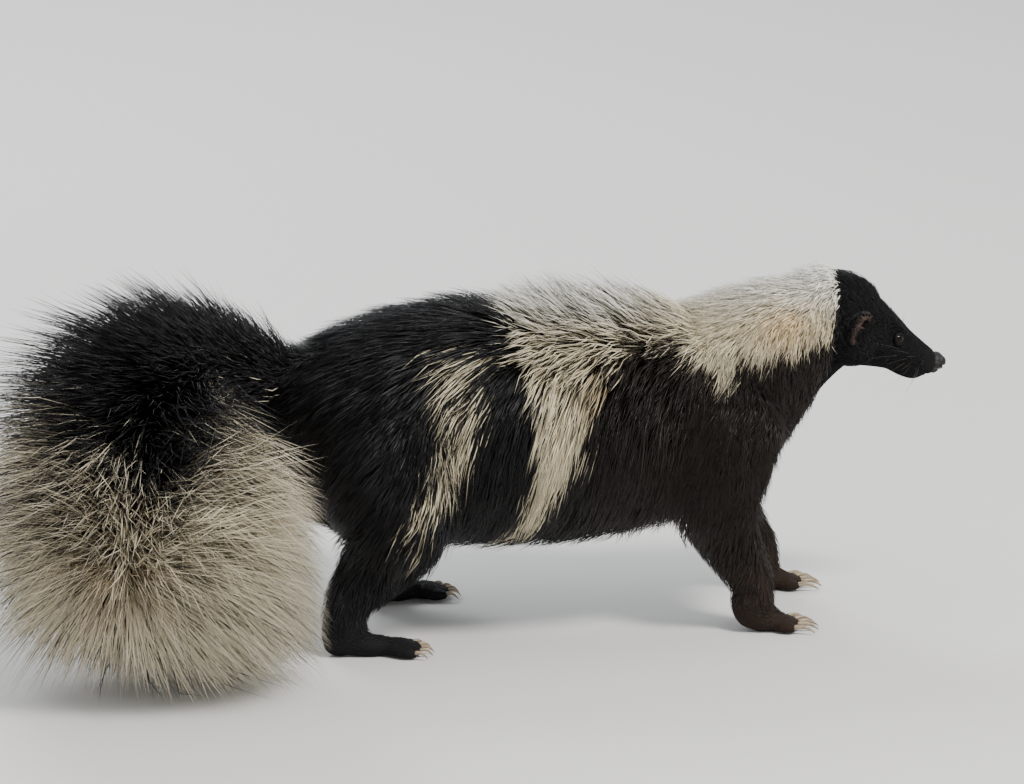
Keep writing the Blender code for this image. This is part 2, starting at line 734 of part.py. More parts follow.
def make_head():
    """The head with sockets for the eyes and nose, lids and the line of the mouth."""
    head = fused("head", head_masses(0), 0.0012, 6)
    skin = surface_of(head)
    head = thinned(head, HEAD_TRIANGLES)
    lips = [skin.find_nearest(point)[0] for point in mouth_line()]
    thread = [(point, *[LIP_RADIUS] * 3) for point in lips]
    cut(head, swept("lips", thread, HEAD_W, len(thread) - 1, 5))
    for side in SIDES:
        cut(head, lid_ring(side), "UNION")
    for side in SIDES:
        cut(head, ellipsoid("socket", eye_point(side), [EYE_RADIUS + GAP] * 3, None, 12, 8))
        eye = ellipsoid(f"eye_{side}", eye_point(side), [EYE_RADIUS] * 3, None, 12, 8)
        paint(eye, "eye")
    nose_at = head_point(*NOSE_PLACE)
    axes = (HEAD_U, HEAD_V, HEAD_W)
    cut(head, ellipsoid("nose_bed", nose_at, [r + GAP for r in NOSE_SIZE], axes, 12, 8))
    nose = ellipsoid("nose", nose_at, NOSE_SIZE, axes, 12, 8)
    for side in SIDES.values():
        u, v, w = NOSE_PLACE + NOSTRIL_PLACE
        cut(nose, ellipsoid("nostril", head_point(u, side * v, w), NOSTRIL_SIZE, axes, 6, 5))
    paint(nose, "nose")
    cut(head, half_space(NAPE_SEAM, -NAPE_WAY))
    largest_only(head)
    paint(head, "black_coat")
    return head


def region(which, side, extra=0.0):
    """The ellipsoid that parts a leg from the trunk."""
    centre, radii = LEG_REGION[which]
    place = Vector((centre.x + STEP[which, side] * 0.6, SIDES[side] * centre.y, centre.z))
    return ellipsoid("region", place, [r + extra for r in radii], None, 20, 12)


def triangulated(obj):
    """The same faces as triangles."""
    bm = bmesh.new()
    bm.from_mesh(obj.data)
    bmesh.ops.triangulate(bm, faces=bm.faces)
    bm.to_mesh(obj.data)
    bm.free()
    return obj


def make_core():
    """The trunk, neck and legs without their long coat, in one piece, with its fine surface."""
    masses = trunk_masses(BODY_CORE_SHARE)
    for which in ("fore", "hind"):
        masses += [leg_mass(which, side, LEG_COAT) for side in SIDES]
    core = fused("core", masses, 0.0032, 8)
    surface = surface_of(core)
    return triangulated(thinned(core, CORE_TRIANGLES)), surface


def unite(obj, pieces):
    """Joins closed pieces to the object in one Boolean and removes them; EXACT leaves open edges here."""
    group = bpy.data.collections.new("pieces")
    bpy.context.scene.collection.children.link(group)
    for piece in pieces:
        PARTS.objects.unlink(piece)
        group.objects.link(piece)
    boolean = obj.modifiers.new("Unite", "BOOLEAN")
    boolean.operation = "UNION"
    boolean.operand_type = "COLLECTION"
    boolean.collection = group
    boolean.solver = "MANIFOLD"
    applied(obj)
    for piece in pieces:
        bpy.data.objects.remove(piece)
    bpy.data.collections.remove(group)
    return obj


def part_off(obj, tool, operation="DIFFERENCE"):
    """Cuts a body that carries locks, whose many crossings need the MANIFOLD solver."""
    return cut(obj, tool, operation, "MANIFOLD")


def make_body(core, surface, keep_off):
    """Neck, torso and legs: the core and its locks joined, then parted with thin cuts."""
    whole = unite(core, body_locks(surface, keep_off))
    part_off(whole, half_space(NAPE_SEAM - NAPE_WAY * GAP, NAPE_WAY))
    neck = copy_of(whole, "neck")
    part_off(neck, half_space(NECK_SEAM, -NECK_WAY))
    torso = copy_of(whole, "torso")
    part_off(torso, half_space(NECK_SEAM - NECK_WAY * GAP, NECK_WAY))
    for which in ("fore", "hind"):
        for side in SIDES:
            leg = copy_of(whole, f"leg_{which}_{side}")
            part_off(leg, region(which, side), "INTERSECT")
            part_off(leg, half_space(Vector((0, 0, ANKLE_HEIGHT + GAP)), Vector((0, 0, -1))))
            largest_only(leg)
            paint(leg, "black_coat")
            part_off(torso, region(which, side, GAP))
            part_off(neck, region(which, side, GAP))
    for side in SIDES:
        part_off(neck, ear_mass(side, GAP))
    for obj in (neck, torso):
        largest_only(obj)
    paint(neck, "white_coat")
    paint(torso, "black_coat")
    bpy.data.objects.remove(whole)


def make_tail_core(core):
    """The tail's flesh and dense under-hair, cut off where it meets the trunk."""
    flesh = swept("plume", tail_path(TAIL_CORE_SHARE), Vector((0, 0, 1)), 30, 18)
    tail = fused("tail_core", [flesh], 0.003, 4)
    surface = surface_of(tail)
    thinned(tail, TAIL_CORE_TRIANGLES)
    cut(tail, inflated(core, GAP * 1.5))
    return triangulated(largest_only(tail)), surface


def tail_frame(share):
    """A point of the tail's own line, the way it runs there and its core's radius and hair's length."""
    row = between(TAIL, share)
    ahead = Vector(between(TAIL, min(share + 0.02, 1))[:3])
    before = Vector(between(TAIL, max(share - 0.02, 0))[:3])
    return Vector(row[:3]), (ahead - before).normalized(), row[3] + TAIL_CORE_SHARE * row[4], row[4]


def plume_lock(centre, along, out, lean, radius, length, width, keep_off):
    """One long lock that leaves the tail at the angle lean and bends back towards the tail's own line."""
    for shorter in (1.0, 0.8, 0.6, 0.4):
        places, ups = [], []
        place = centre + out * (radius - 2 * LOCK_SINK)
        for k in range(PLUME_STEPS + 1):
            t = k / PLUME_STEPS
            angle = lean * (1.12 - 0.30 * t)
            way = along * math.cos(angle) + out * math.sin(angle)
            places.append(place.copy())
            ups.append(out * math.cos(angle) - along * math.sin(angle))
            place = place + way * length * shorter / PLUME_STEPS
            place.z = max(place.z, FLOOR_MARGIN)
        made = lock(places, ups, width, PLUME_THICKNESS)
        if clear_of(made, keep_off):
            return [made]
        bpy.data.objects.remove(made)
    return []


def plume_locks(keep_off):
    """Whorls of long locks along the tail, each turned half a step from the last, and a tuft at its end."""
    dice = random.Random(SEED + 1)
    made = []
    first, last = PLUME_ROOTS
    for whorl in range(PLUME_WHORLS):
        share = first + (last - first) * whorl / (PLUME_WHORLS - 1)
        centre, along, radius, hair = tail_frame(share)
        lean = PLUME_LEAN[0] + (PLUME_LEAN[1] - PLUME_LEAN[0]) * min(1.0, share / PLUME_LEAN_FULL)
        across = along.cross(Vector((0, 0, 1))).normalized()
        up = across.cross(along)
        count = max(PLUME_LEAST, round(2 * math.pi * radius / PLUME_SPACING))
        for k in range(count):
            step = k + (0.5 if whorl % 2 else 0) + PLUME_SCATTER * dice.uniform(-1, 1)
            angle = 2 * math.pi * step / count
            out = up * math.cos(angle) + across * math.sin(angle)
            length = varied(dice, hair * (1 - TAIL_CORE_SHARE) + 3 * LOCK_SINK)
            width = varied(dice, PLUME_WIDTH)
            made += plume_lock(centre, along, out, lean, radius, length, width, keep_off)
    centre, along, _, _ = tail_frame(1.0)
    across = along.cross(Vector((0, 0, 1))).normalized()
    up = across.cross(along)
    root = centre - along * TIP_ROOT
    for k in range(TIP_LOCKS):
        angle = 2 * math.pi * k / TIP_LOCKS
        out = up * math.cos(angle) + across * math.sin(angle)
        made += plume_lock(root, along, out, TIP_LEAN, TIP_RADIUS, TIP_LENGTH, TIP_WIDTH, keep_off)
    return made


def cone_ahead(share, gap):
    """The cone that holds all of the tail past that share of its length, shrunk by gap."""
    centre, along, _, _ = tail_frame(share)
    wide = CONE_HEIGHT * math.tan(TAIL_CUT_ANGLE)
    bm = bmesh.new()
    bmesh.ops.create_cone(
        bm, cap_ends=True, segments=CONE_SIDES, radius1=0, radius2=wide, depth=CONE_HEIGHT
    )
    turn = along.to_track_quat("Z", "Y").to_matrix().to_4x4()
    apex = centre + along * (gap / math.sin(TAIL_CUT_ANGLE) - CONE_SET_BACK)
    place = Matrix.Translation(apex) @ turn @ Matrix.Translation((0, 0, CONE_HEIGHT / 2))
    bmesh.ops.transform(bm, matrix=place, verts=bm.verts)
    return object_of("cone", bm)


def make_tail(core, surface, keep_off):
    """The tail in three lengths, parted by cones along the lie of its hair."""
    whole = unite(core, plume_locks(keep_off))
    for k, name in enumerate(("tail_root", "tail_middle", "tail_end")):
        length = copy_of(whole, name)
        if k > 0:
            part_off(length, cone_ahead(TAIL_CUTS[k - 1], GAP), "INTERSECT")
        if k < len(TAIL_CUTS):
            part_off(length, cone_ahead(TAIL_CUTS[k], 0))
        largest_only(length)
        paint(length, "plume")
    bpy.data.objects.remove(whole)


def stand_on_origin():
    """Moves every part so that the whole skunk's box has the middle of its base at the origin."""
    corners = [v.co for obj in PARTS.objects for v in obj.data.vertices]
    middle = [(min(c[k] for c in corners) + max(c[k] for c in corners)) / 2 for k in (0, 1)]
    for obj in PARTS.objects:
        obj.data.transform(Matrix.Translation((-middle[0], -middle[1], 0)))


def shade():
    """Smooth shading on every part, sharp at hard edges."""
    for obj in PARTS.objects:
        obj.data.shade_smooth()
        obj.data.set_sharp_from_angle(angle=math.radians(40))


clear_scene()
PARTS = make_collection()
skull = make_head()
for ear_side in SIDES:
    make_ear(ear_side, skull)
trunk_core, trunk_surface = make_core()
tail_core, tail_surface = make_tail_core(trunk_core)
make_body(trunk_core, trunk_surface, [surface_of(tail_core)])
for foot_kind in ("fore", "hind"):
    for foot_side in SIDES:
        make_foot(foot_kind, foot_side)
others = [surface_of(part) for part in PARTS.objects if part is not tail_core]
make_tail(tail_core, tail_surface, others)
stand_on_origin()
shade()
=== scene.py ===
"""The looks of a life-size striped skunk: skin, face, claws, coat and studio, fitted over its solids.

Metres, +X towards the nose, +Y to the animal's left, +Z up.
"""

import math

import bmesh
import bpy
import numpy as np
from mathutils import Matrix, Vector
from mathutils.bvhtree import BVHTree
from mathutils.kdtree import KDTree


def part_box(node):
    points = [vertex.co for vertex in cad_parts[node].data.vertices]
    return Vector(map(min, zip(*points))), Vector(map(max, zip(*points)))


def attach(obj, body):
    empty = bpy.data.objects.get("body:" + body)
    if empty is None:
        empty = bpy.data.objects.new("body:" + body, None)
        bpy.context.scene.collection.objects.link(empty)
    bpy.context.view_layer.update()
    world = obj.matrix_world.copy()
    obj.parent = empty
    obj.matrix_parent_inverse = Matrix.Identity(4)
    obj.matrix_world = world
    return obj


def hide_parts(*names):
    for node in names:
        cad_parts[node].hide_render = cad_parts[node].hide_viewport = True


bl_info = {
    "name": "Striped Skunk",
    "version": (1, 0, 0),
    "blender": (4, 5, 0),
    "location": "View3D > Sidebar > Skunk",
    "description": "Builds a striped skunk's skin, face, claws, coat and studio over its solids",
    "category": "Object",
}

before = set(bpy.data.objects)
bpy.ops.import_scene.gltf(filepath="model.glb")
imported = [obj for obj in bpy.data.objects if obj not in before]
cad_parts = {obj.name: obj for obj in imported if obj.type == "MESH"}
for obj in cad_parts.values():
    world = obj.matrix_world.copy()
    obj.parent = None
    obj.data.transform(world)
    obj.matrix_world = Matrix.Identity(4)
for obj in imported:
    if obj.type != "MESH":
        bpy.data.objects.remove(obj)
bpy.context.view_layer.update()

SIDES = {"right": -1, "left": 1}
LIMBS = [(which, side) for which in ("fore", "hind") for side in SIDES]
BAKE_MAP = "OFBake"
COLOUR_LAYER = "markings"
STRAND_LAYER = "strand"
BAKE_PATCH = 0.003  # a tuft's share of the bake map
WHISKER_SEED = 5

# The bare trunk, from the tail's root to the back of the head:
# along X, height of the centre, half width, reach above the centre, reach below it.
TRUNK = (
    (-0.163, 0.130, 0.012, 0.012, 0.012),
    (-0.155, 0.128, 0.028, 0.024, 0.028),
    (-0.140, 0.121, 0.043, 0.037, 0.042),
    (-0.110, 0.115, 0.054, 0.050, 0.052),
    (-0.065, 0.112, 0.058, 0.061, 0.055),
    (-0.015, 0.110, 0.060, 0.060, 0.056),
    (0.035, 0.110, 0.055, 0.057, 0.052),
    (0.080, 0.119, 0.046, 0.049, 0.045),
    (0.108, 0.137, 0.037, 0.041, 0.036),
    (0.130, 0.153, 0.0305, 0.0325, 0.0290),
    (0.150, 0.165, 0.0262, 0.0255, 0.0255),
    (0.164, 0.170, 0.0250, 0.0225, 0.0250),
    (0.178, 0.172, 0.0120, 0.0120, 0.0120),
)
# The coat's depth from the skin to its tips: along X, on the back, low on the flank.
COAT_DEPTH = (
    (-0.170, 0.016, 0.010),
    (-0.110, 0.018, 0.012),
    (-0.060, 0.020, 0.013),
    (-0.015, 0.017, 0.013),
    (0.035, 0.025, 0.012),
    (0.085, 0.017, 0.010),
    (0.117, 0.017, 0.008),
    (0.140, 0.011, 0.005),
    (0.162, 0.005, 0.003),
)

# The head's own frame: origin at the back of the skull, u towards the nose, w up from that line.
HEAD_ORIGIN = Vector((0.1452, 0.0, 0.1747))
HEAD_PITCH = math.radians(-28)
HEAD_U = Vector((math.cos(HEAD_PITCH), 0, math.sin(HEAD_PITCH)))
HEAD_V = Vector((0, 1, 0))
HEAD_W = Vector((-math.sin(HEAD_PITCH), 0, math.cos(HEAD_PITCH)))
HEAD_AXES = (HEAD_U, HEAD_V, HEAD_W)
UP = Vector((0, 0, 1))
# Along u, offset of the centre along w, half width, reach above, reach below.
HEAD = (
    (-0.012, -0.001, 0.014, 0.014, 0.014),
    (-0.006, -0.001, 0.0225, 0.0205, 0.0230),
    (0.006, -0.001, 0.0268, 0.0233, 0.0250),
    (0.020, -0.001, 0.0275, 0.0214, 0.0238),
    (0.034, -0.001, 0.0232, 0.0184, 0.0204),
    (0.046, -0.001, 0.0176, 0.0150, 0.0166),
    (0.057, -0.001, 0.0134, 0.0117, 0.0138),
    (0.067, -0.001, 0.0110, 0.0093, 0.0120),
    (0.074, -0.001, 0.0088, 0.0076, 0.0096),
    (0.0775, -0.001, 0.0050, 0.0048, 0.0058),
)
# Swellings on the head: centre (u, v, w) and radii; each with v above 0 is on both sides.
HEAD_MASSES = (
    ((0.019, 0.0180, -0.0085), (0.0200, 0.0120, 0.0145)),  # cheek
    ((0.044, 0.0112, 0.0082), (0.0100, 0.0048, 0.0038)),  # brow
    ((0.0675, 0.0056, -0.0034), (0.0112, 0.0062, 0.0066)),  # upper lip
    ((0.0600, 0.0, -0.0118), (0.0140, 0.0078, 0.0044)),  # chin
)
EYE_PLACE = Vector((0.0462, 0.0144, 0.0042))
EYE_RADIUS = 0.0038
EYE_LENGTH = 0.82  # half the opening's length as a share of the eye
SOCKET = 0.88  # the skin's own opening round the lids, as a share of the eye
LID_END = math.radians(12)  # how far round the eye the lids go, up from its middle
# The lids' thickness: share of the way out from their edge, height over the eye as a share of the thickness.
LID_SECTION = ((0.0, 0.1), (0.0, 0.7), (0.05, 1.0), (0.30, 1.1), (1.0, 0.7), (1.0, -0.6), (0.4, -0.5))
EAR_PLACE = Vector((0.0205, 0.0268, 0.0000))
EAR_SIZE = Vector((0.0062, 0.0088, 0.0100))  # depth of the cup, half width, half height
NOSE_PLACE = Vector((0.0772, 0.0, 0.0012))
NOSE_SIZE = Vector((0.0045, 0.0060, 0.0050))
NOSE_BED = 0.0762  # where the muzzle ends behind the nose pad
NAPE_SEAM = Vector((0.1500, 0, 0.160))
NAPE_WAY = (HEAD_U + Vector((1, 0, 0))).normalized()

# Legs from the joint inside the trunk to the wrist or heel:
# x, y, z, half width, reach to the front, to the back.
FORE_LEG = (
    (0.090, 0.026, 0.132, 0.014, 0.016, 0.016),
    (0.088, 0.032, 0.116, 0.021, 0.027, 0.027),
    (0.083, 0.038, 0.094, 0.0195, 0.024, 0.025),
    (0.081, 0.041, 0.070, 0.0160, 0.0180, 0.0205),
    (0.088, 0.042, 0.047, 0.0125, 0.0140, 0.0150),
    (0.097, 0.042, 0.027, 0.0105, 0.0112, 0.0115),
    (0.100, 0.042, 0.008, 0.0095, 0.0100, 0.0100),
)
HIND_LEG = (
    (-0.105, 0.030, 0.128, 0.014, 0.018, 0.018),
    (-0.104, 0.036, 0.113, 0.024, 0.035, 0.034),
    (-0.100, 0.045, 0.091, 0.023, 0.033, 0.033),
    (-0.096, 0.050, 0.067, 0.0190, 0.0250, 0.0270),
    (-0.109, 0.052, 0.045, 0.0140, 0.0175, 0.0185),
    (-0.121, 0.053, 0.027, 0.0110, 0.0120, 0.0120),
    (-0.125, 0.053, 0.008, 0.0095, 0.0100, 0.0100),
)
ANKLE_HEIGHT = 0.022
# How far ahead each foot is set.
STEP = {
    ("fore", "right"): 0.004,
    ("fore", "left"): 0.024,
    ("hind", "right"): -0.008,
    ("hind", "left"): 0.026,
}
# A foot's masses: place ahead of the ankle and height, then radii.
FORE_FOOT = (
    ((0.000, 0.016), (0.0128, 0.0124, 0.0160)),
    ((0.007, 0.0060), (0.0130, 0.0108, 0.0076)),
    ((0.015, 0.0045), (0.0080, 0.0118, 0.0060)),
)
HIND_FOOT = (
    ((0.000, 0.016), (0.0128, 0.0124, 0.0160)),
    ((-0.004, 0.0065), (0.0100, 0.0085, 0.0080)),
    ((0.012, 0.0055), (0.0190, 0.0092, 0.0072)),
    ((0.028, 0.0045), (0.0100, 0.0118, 0.0060)),
)
# Toes: forward place of the root, spacing, length, radius, claw length, claw radius.
TOES = {
    "fore": (0.0165, 0.0048, 0.0110, 0.0034, 0.0130, 0.00150),
    "hind": (0.0310, 0.0047, 0.0120, 0.0034, 0.0080, 0.00125),
}
TOE_SHORTER = (0.0042, 0.0010, 0.0, 0.0008, 0.0034)  # how far back each is set, from the inner toe
FLOOR_CLEARANCE = 0.0008  # under the claws' tips

# The tail's bones: x, y, z, radius of the flesh, length of the hair.
TAIL = (
    (-0.140, 0.000, 0.134, 0.0120, 0.022),
    (-0.166, -0.002, 0.145, 0.0130, 0.042),
    (-0.196, -0.010, 0.150, 0.0115, 0.068),
    (-0.222, -0.030, 0.143, 0.0095, 0.093),
    (-0.242, -0.058, 0.124, 0.0080, 0.110),
    (-0.253, -0.086, 0.099, 0.0060, 0.114),
    (-0.259, -0.114, 0.082, 0.0040, 0.090),
    (-0.262, -0.136, 0.074, 0.0030, 0.040),
)
TAIL_END = 0.91  # where the flesh stops, as a share of the bones
PLUME_LEAN = (math.radians(34), math.radians(68))  # how far its hair leans out, at the root and farther on
PLUME_START = 0.07  # where its hair starts, as a share of the bones
PLUME_EDGE = -0.1230  # how near the rump the plume's right edge comes
PLUME_FRONT = -0.1440  # how far out the plume's front reaches, in the frame
FLOOR_MARGIN = 0.004  # no long tuft comes closer to the floor

# The markings' edges. Nape and ridge: along X, how far down from the top of the back, in degrees.
NAPE_EDGE = (
    (0.052, 26), (0.066, 38), (0.076, 50), (0.085, 70), (0.092, 55), (0.109, 63), (0.130, 80), (0.148, 96),
)
RIDGE_EDGE = ((-0.040, 12), (-0.018, 42), (0.010, 46), (0.040, 38), (0.064, 38))
RIDGE_WHITE = 0.86
# The flank's band by height: its middle along X, half its width.
BAND = (
    (0.045, -0.040, 0.002),
    (0.082, -0.022, 0.006),
    (0.102, -0.0155, 0.010),
    (0.135, -0.009, 0.0145),
    (0.163, -0.008, 0.029),
    (0.180, -0.005, 0.031),
)
# The thinner wisp behind it: by height its middle, then by height half its width.
WISP_PLACE = ((0.050, -0.108), (0.072, -0.094), (0.089, -0.083), (0.121, -0.067), (0.155, -0.069))
WISP_WIDTH = ((0.050, 0.004), (0.089, 0.009), (0.121, 0.010), (0.155, 0.013))
WISP_WHITE = 0.5
# Where the plume turns from black to pale: along X, height.
PLUME_DARK = ((-0.31, 0.148), (-0.27, 0.140), (-0.245, 0.126), (-0.20, 0.152), (-0.14, 0.150))

# The head's coat along u: length of a tuft, how far it stands out, how closely tufts grow, how wide they are.
HEAD_LENGTH = ((-0.005, 0.0065), (0.010, 0.0070), (0.030, 0.0052), (0.050, 0.0034), (0.070, 0.0020))
HEAD_DEPTH = ((-0.005, 0.0030), (0.020, 0.0018), (0.050, 0.0010), (0.070, 0.0006))
HEAD_THICK = ((0.010, 1.0), (0.040, 1.7), (0.070, 2.8))
HEAD_WIDTH = ((0.02, 1.0), (0.07, 0.62))
# The legs' coat by height: the same, without how closely it grows.
LEG_LENGTH = ((0.003, 0.0026), (0.012, 0.0045), (0.024, 0.0080), (0.050, 0.0140), (0.085, 0.0240))
LEG_DEPTH = ((0.003, 0.0006), (0.015, 0.0012), (0.030, 0.0024), (0.085, 0.0060))
LEG_WIDTH = ((0.01, 0.75), (0.05, 1.1), (0.09, 1.5))
# The trunk's coat along X: how steeply it lies down the flank; on the neck, its length beside its depth.
FLANK_DOWN = ((-0.15, 0.6), (-0.11, 0.95), (-0.06, 1.55), (0.05, 1.55), (0.15, 1.30))
NECK_LENGTH = ((0.08, 0.012), (0.14, 0.006), (0.16, 0.003))
PIECE_LIMIT = 190000  # triangles in one piece of the coat
# The trunk's two coats: long locks on the body, fine hair on nape and neck. Steps along a tuft, disorder of
# its way, least share of the coat's depth, tufts to a lock, pull of a sheaf of locks, straying of its points.
TRUNK_COATS = {
    "body": {"steps": 3, "disorder": 0.11, "least": 0.55, "lock": 12, "sheaf": 0.28, "stray": 0.0010},
    "neck": {"steps": 2, "disorder": 0.20, "least": 0.60, "lock": 8, "sheaf": 0.15, "stray": 0.0013},
}
# How closely its tufts grow, by how far the skin faces up.
THICKER_ABOVE = ((-0.9, 0.55), (0.0, 1.0), (0.8, 1.25))
LEG_WAY, FOOT_WAY = (-0.30, 0.0, -1.0), (1.0, 0.0, -0.25)
TRUNK_SUNK, HEAD_SUNK, LEG_SUNK = 0.0006, 0.0003, 0.0004  # how far a tuft's root is under the skin
TOE_MARGIN, LEG_LOWEST = 0.0015, 0.0022  # height over the floor of the feet's tufts and of their lowest root
EYE_BARE = 1.115  # no tuft grows closer to an eye's middle, as a share of the eye
NOSE_BARE, LIP_BARE = 0.0052, 0.0012  # no tuft grows closer to the nose pad's middle or to the lips' line
PLUME_BLACK = 1.3  # the plume's black beside the body's

# How finely the skin, nose pad and nostrils are fused.
SKIN_VOXEL, NOSE_VOXEL, NOSTRIL_VOXEL = 0.0019, 0.00036, 0.00022
HEAD_INSET, FOOT_INSET = 0.0012, 0.0010  # how far the skin lies inside the flesh
EYE_RIM = 1.12  # how far out the skin round an eye is held, as a share of the eye
LIP_REACH, NOSE_REACH = 0.0016, 0.0068  # how far from the lips' line and nose pad the skin is drawn in
SKIN_GRAIN, HORN_GRAIN = (500, 1300, 900), (0.25, 1.0, 1.0)
BUMP_HEIGHT, HORN_BUMP_HEIGHT = 0.0003, 0.0002

# Colours of the coat and skin, as the light they give back.
BLACK = (0.0085, 0.0080, 0.0090)
# Brown-black: a sheen painted on the sunlit black of the shoulders.
SHEEN_BROWN_BLACK = (0.0190, 0.0120, 0.0085)
WHITE = (0.92, 0.905, 0.85)
CREAM = (0.84, 0.75, 0.545)
GOLD = (0.62, 0.42, 0.19)
GRIZZLE = (0.79, 0.72, 0.555)
EAR_FUZZ = (0.062, 0.043, 0.036)
EAR_SKIN = (0.185, 0.115, 0.098)


def eye_point(side):
    """The centre of an eye, in the CAD's modelling place."""
    return head_point(EYE_PLACE.x, EYE_PLACE.y * SIDES[side], EYE_PLACE.z)


def head_point(u, v, w):
    """A place of the head's own frame."""
    return HEAD_ORIGIN + HEAD_U * u + HEAD_V * v + HEAD_W * w


# The tables above have the trunk's middle at x = 0; the frame has the middle of the whole box there.
SHIFT = sum(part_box("eye_left"), Vector()) / 2 - eye_point("left")


class SkunkHead(bpy.types.PropertyGroup):
    """Sizes of the face."""

    lid: bpy.props.FloatProperty(
        name="Lid", description="Thickness of the lids over each eye", default=0.00042, unit="LENGTH"
    )
    eye_open: bpy.props.FloatProperty(
        name="Eye opening", description="Half height of the opening as a share of the eye", default=0.60
    )
    lip_depth: bpy.props.FloatProperty(
        name="Lip line", description="Depth of the line between the lips", default=0.0011, unit="LENGTH"
    )
    whiskers: bpy.props.IntProperty(name="Whiskers", description="Whiskers on each side", default=11)


class SkunkCoat(bpy.types.PropertyGroup):
    """How thick and long the coat is."""

    seed: bpy.props.IntProperty(name="Seed", description="Starts the coat's small differences", default=11)
    body: bpy.props.IntProperty(name="Body tufts", description="Long tufts on the trunk", default=25000)
    neck: bpy.props.IntProperty(name="Neck tufts", description="Fine tufts on nape and neck", default=25000)
    tail: bpy.props.IntProperty(name="Tail tufts", description="Long tufts on the tail", default=26000)
    legs: bpy.props.IntProperty(name="Leg tufts", description="Tufts on legs and feet", default=10500)
    head: bpy.props.IntProperty(name="Head tufts", description="Short tufts on the head", default=28000)
    ears: bpy.props.IntProperty(name="Ear tufts", description="Short tufts on each ear", default=1800)
    body_width: bpy.props.FloatProperty(
        name="Body tuft", description="Width of a tuft on the body", default=0.00115, unit="LENGTH"
    )
    neck_width: bpy.props.FloatProperty(
        name="Neck tuft", description="Width of a tuft on nape and neck", default=0.0009, unit="LENGTH"
    )
    tail_width: bpy.props.FloatProperty(
        name="Tail tuft", description="Width of a tuft on the tail", default=0.0011, unit="LENGTH"
    )
    short_width: bpy.props.FloatProperty(
        name="Short tuft", description="Width of a tuft on face and legs", default=0.00068, unit="LENGTH"
    )
    clump: bpy.props.FloatProperty(
        name="Clumping", description="How far tips draw together into locks", default=0.62, subtype="FACTOR"
    )


class SkunkStage(bpy.types.PropertyGroup):
    """The view and the light."""

    azimuth: bpy.props.FloatProperty(
        name="Azimuth", description="Way round the skunk", default=math.radians(-10), subtype="ANGLE"
    )
    elevation: bpy.props.FloatProperty(
        name="Elevation", description="Height of the view", default=math.radians(14), subtype="ANGLE"
    )
    distance: bpy.props.FloatProperty(
        name="Distance", description="From the camera to the skunk", default=4.2, unit="LENGTH"
    )
    width: bpy.props.FloatProperty(
        name="Frame", description="Width that the frame takes in at the skunk", default=0.569, unit="LENGTH"
    )
    aim: bpy.props.FloatVectorProperty(
        name="Aim",
        description="Middle of the frame",
        default=(-0.0263, 0.0046, 0.1306),
        subtype="TRANSLATION",
    )
    key: bpy.props.FloatProperty(name="Key light", description="Power of the main light", default=75.0)
    floor: bpy.props.FloatVectorProperty(
        name="Floor", description="Colour of the floor", default=(0.70, 0.69, 0.67), subtype="COLOR"
    )


def between(rows, share):
    """A smooth curve through rows of numbers, read at share 0 to 1 of its length in rows."""
    place = share * (len(rows) - 1)
    i = min(int(place), len(rows) - 2)
    t = place - i
    a, b, c, d = (rows[min(max(k, 0), len(rows) - 1)] for k in (i - 1, i, i + 1, i + 2))
    return tuple(
        0.5 * (2 * q + (r - p) * t + (2 * p - 5 * q + 4 * r - s) * t * t + (3 * q - p - 3 * r + s) * t**3)
        for p, q, r, s in zip(a, b, c, d)
    )


def soft(value, width):
    """0 below -width, 1 above width and a smooth step between."""
    t = np.clip(value / width * 0.5 + 0.5, 0, 1)
    return t * t * (3 - 2 * t)


def unit(vectors):
    """Each row made one long."""
    return vectors / np.maximum(np.linalg.norm(vectors, axis=-1, keepdims=True), 1e-12)


def column(table, k):
    """One column of a table of rows."""
    return np.array([row[k] for row in table])


def read(table, places, k=1):
    """The table's column k, read at those places along its first column."""
    return np.interp(places, column(table, 0), column(table, k))


def rows_of(vectors):
    """Vectors as the rows of an array."""
    return np.array([list(vector) for vector in vectors])


def blend(first, second, share):
    """The first where the share is 0, the second where it is 1."""
    return np.asarray(first) * (1 - share) + np.asarray(second) * share


def nearest_gap(points, marks):
    """How far each point is from the nearest of the marks."""
    return np.min(np.linalg.norm(points[:, None] - marks[None], axis=2), axis=1)


def tree_of(corners):
    """The triangles as a tree to look up the nearest surface in."""
    index = np.arange(len(corners) * 3).reshape(-1, 3).tolist()
    return BVHTree.FromPolygons([tuple(corner) for corner in corners.reshape(-1, 3)], index)


def points_tree(points):
    """The points as a tree to look up the nearest one in."""
    tree = KDTree(len(points))
    for k, point in enumerate(points):
        tree.insert(point, k)
    tree.balance()
    return tree


def add_loft(bm, rings, closed=False):
    """A skin over rings of points, with a point at each end's centre unless it closes on itself."""
    rows = [[bm.verts.new(p) for p in ring] for ring in rings]
    count = len(rows[0])
    for low, high in zip(rows, rows[1:] + (rows[:1] if closed else [])):
        for k in range(count):
            n = (k + 1) % count
            bm.faces.new((low[k], low[n], high[n], high[k]))
    if not closed:
        for row, flip in ((rows[0], True), (rows[-1], False)):
            centre = bm.verts.new(sum((v.co for v in row), Vector()) / count)
            for k in range(count):
                n = (k + 1) % count
                bm.faces.new((centre, row[n], row[k]) if flip else (centre, row[k], row[n]))


def ring(centre, across, up, half_width, above, below, sides):
    """Points round an egg-shaped section."""
    made = []
    for k in range(sides):
        angle = 2 * math.pi * k / sides
        rise = above if math.cos(angle) > 0 else below
        made.append(centre + across * half_width * math.sin(angle) + up * rise * math.cos(angle))
    return made


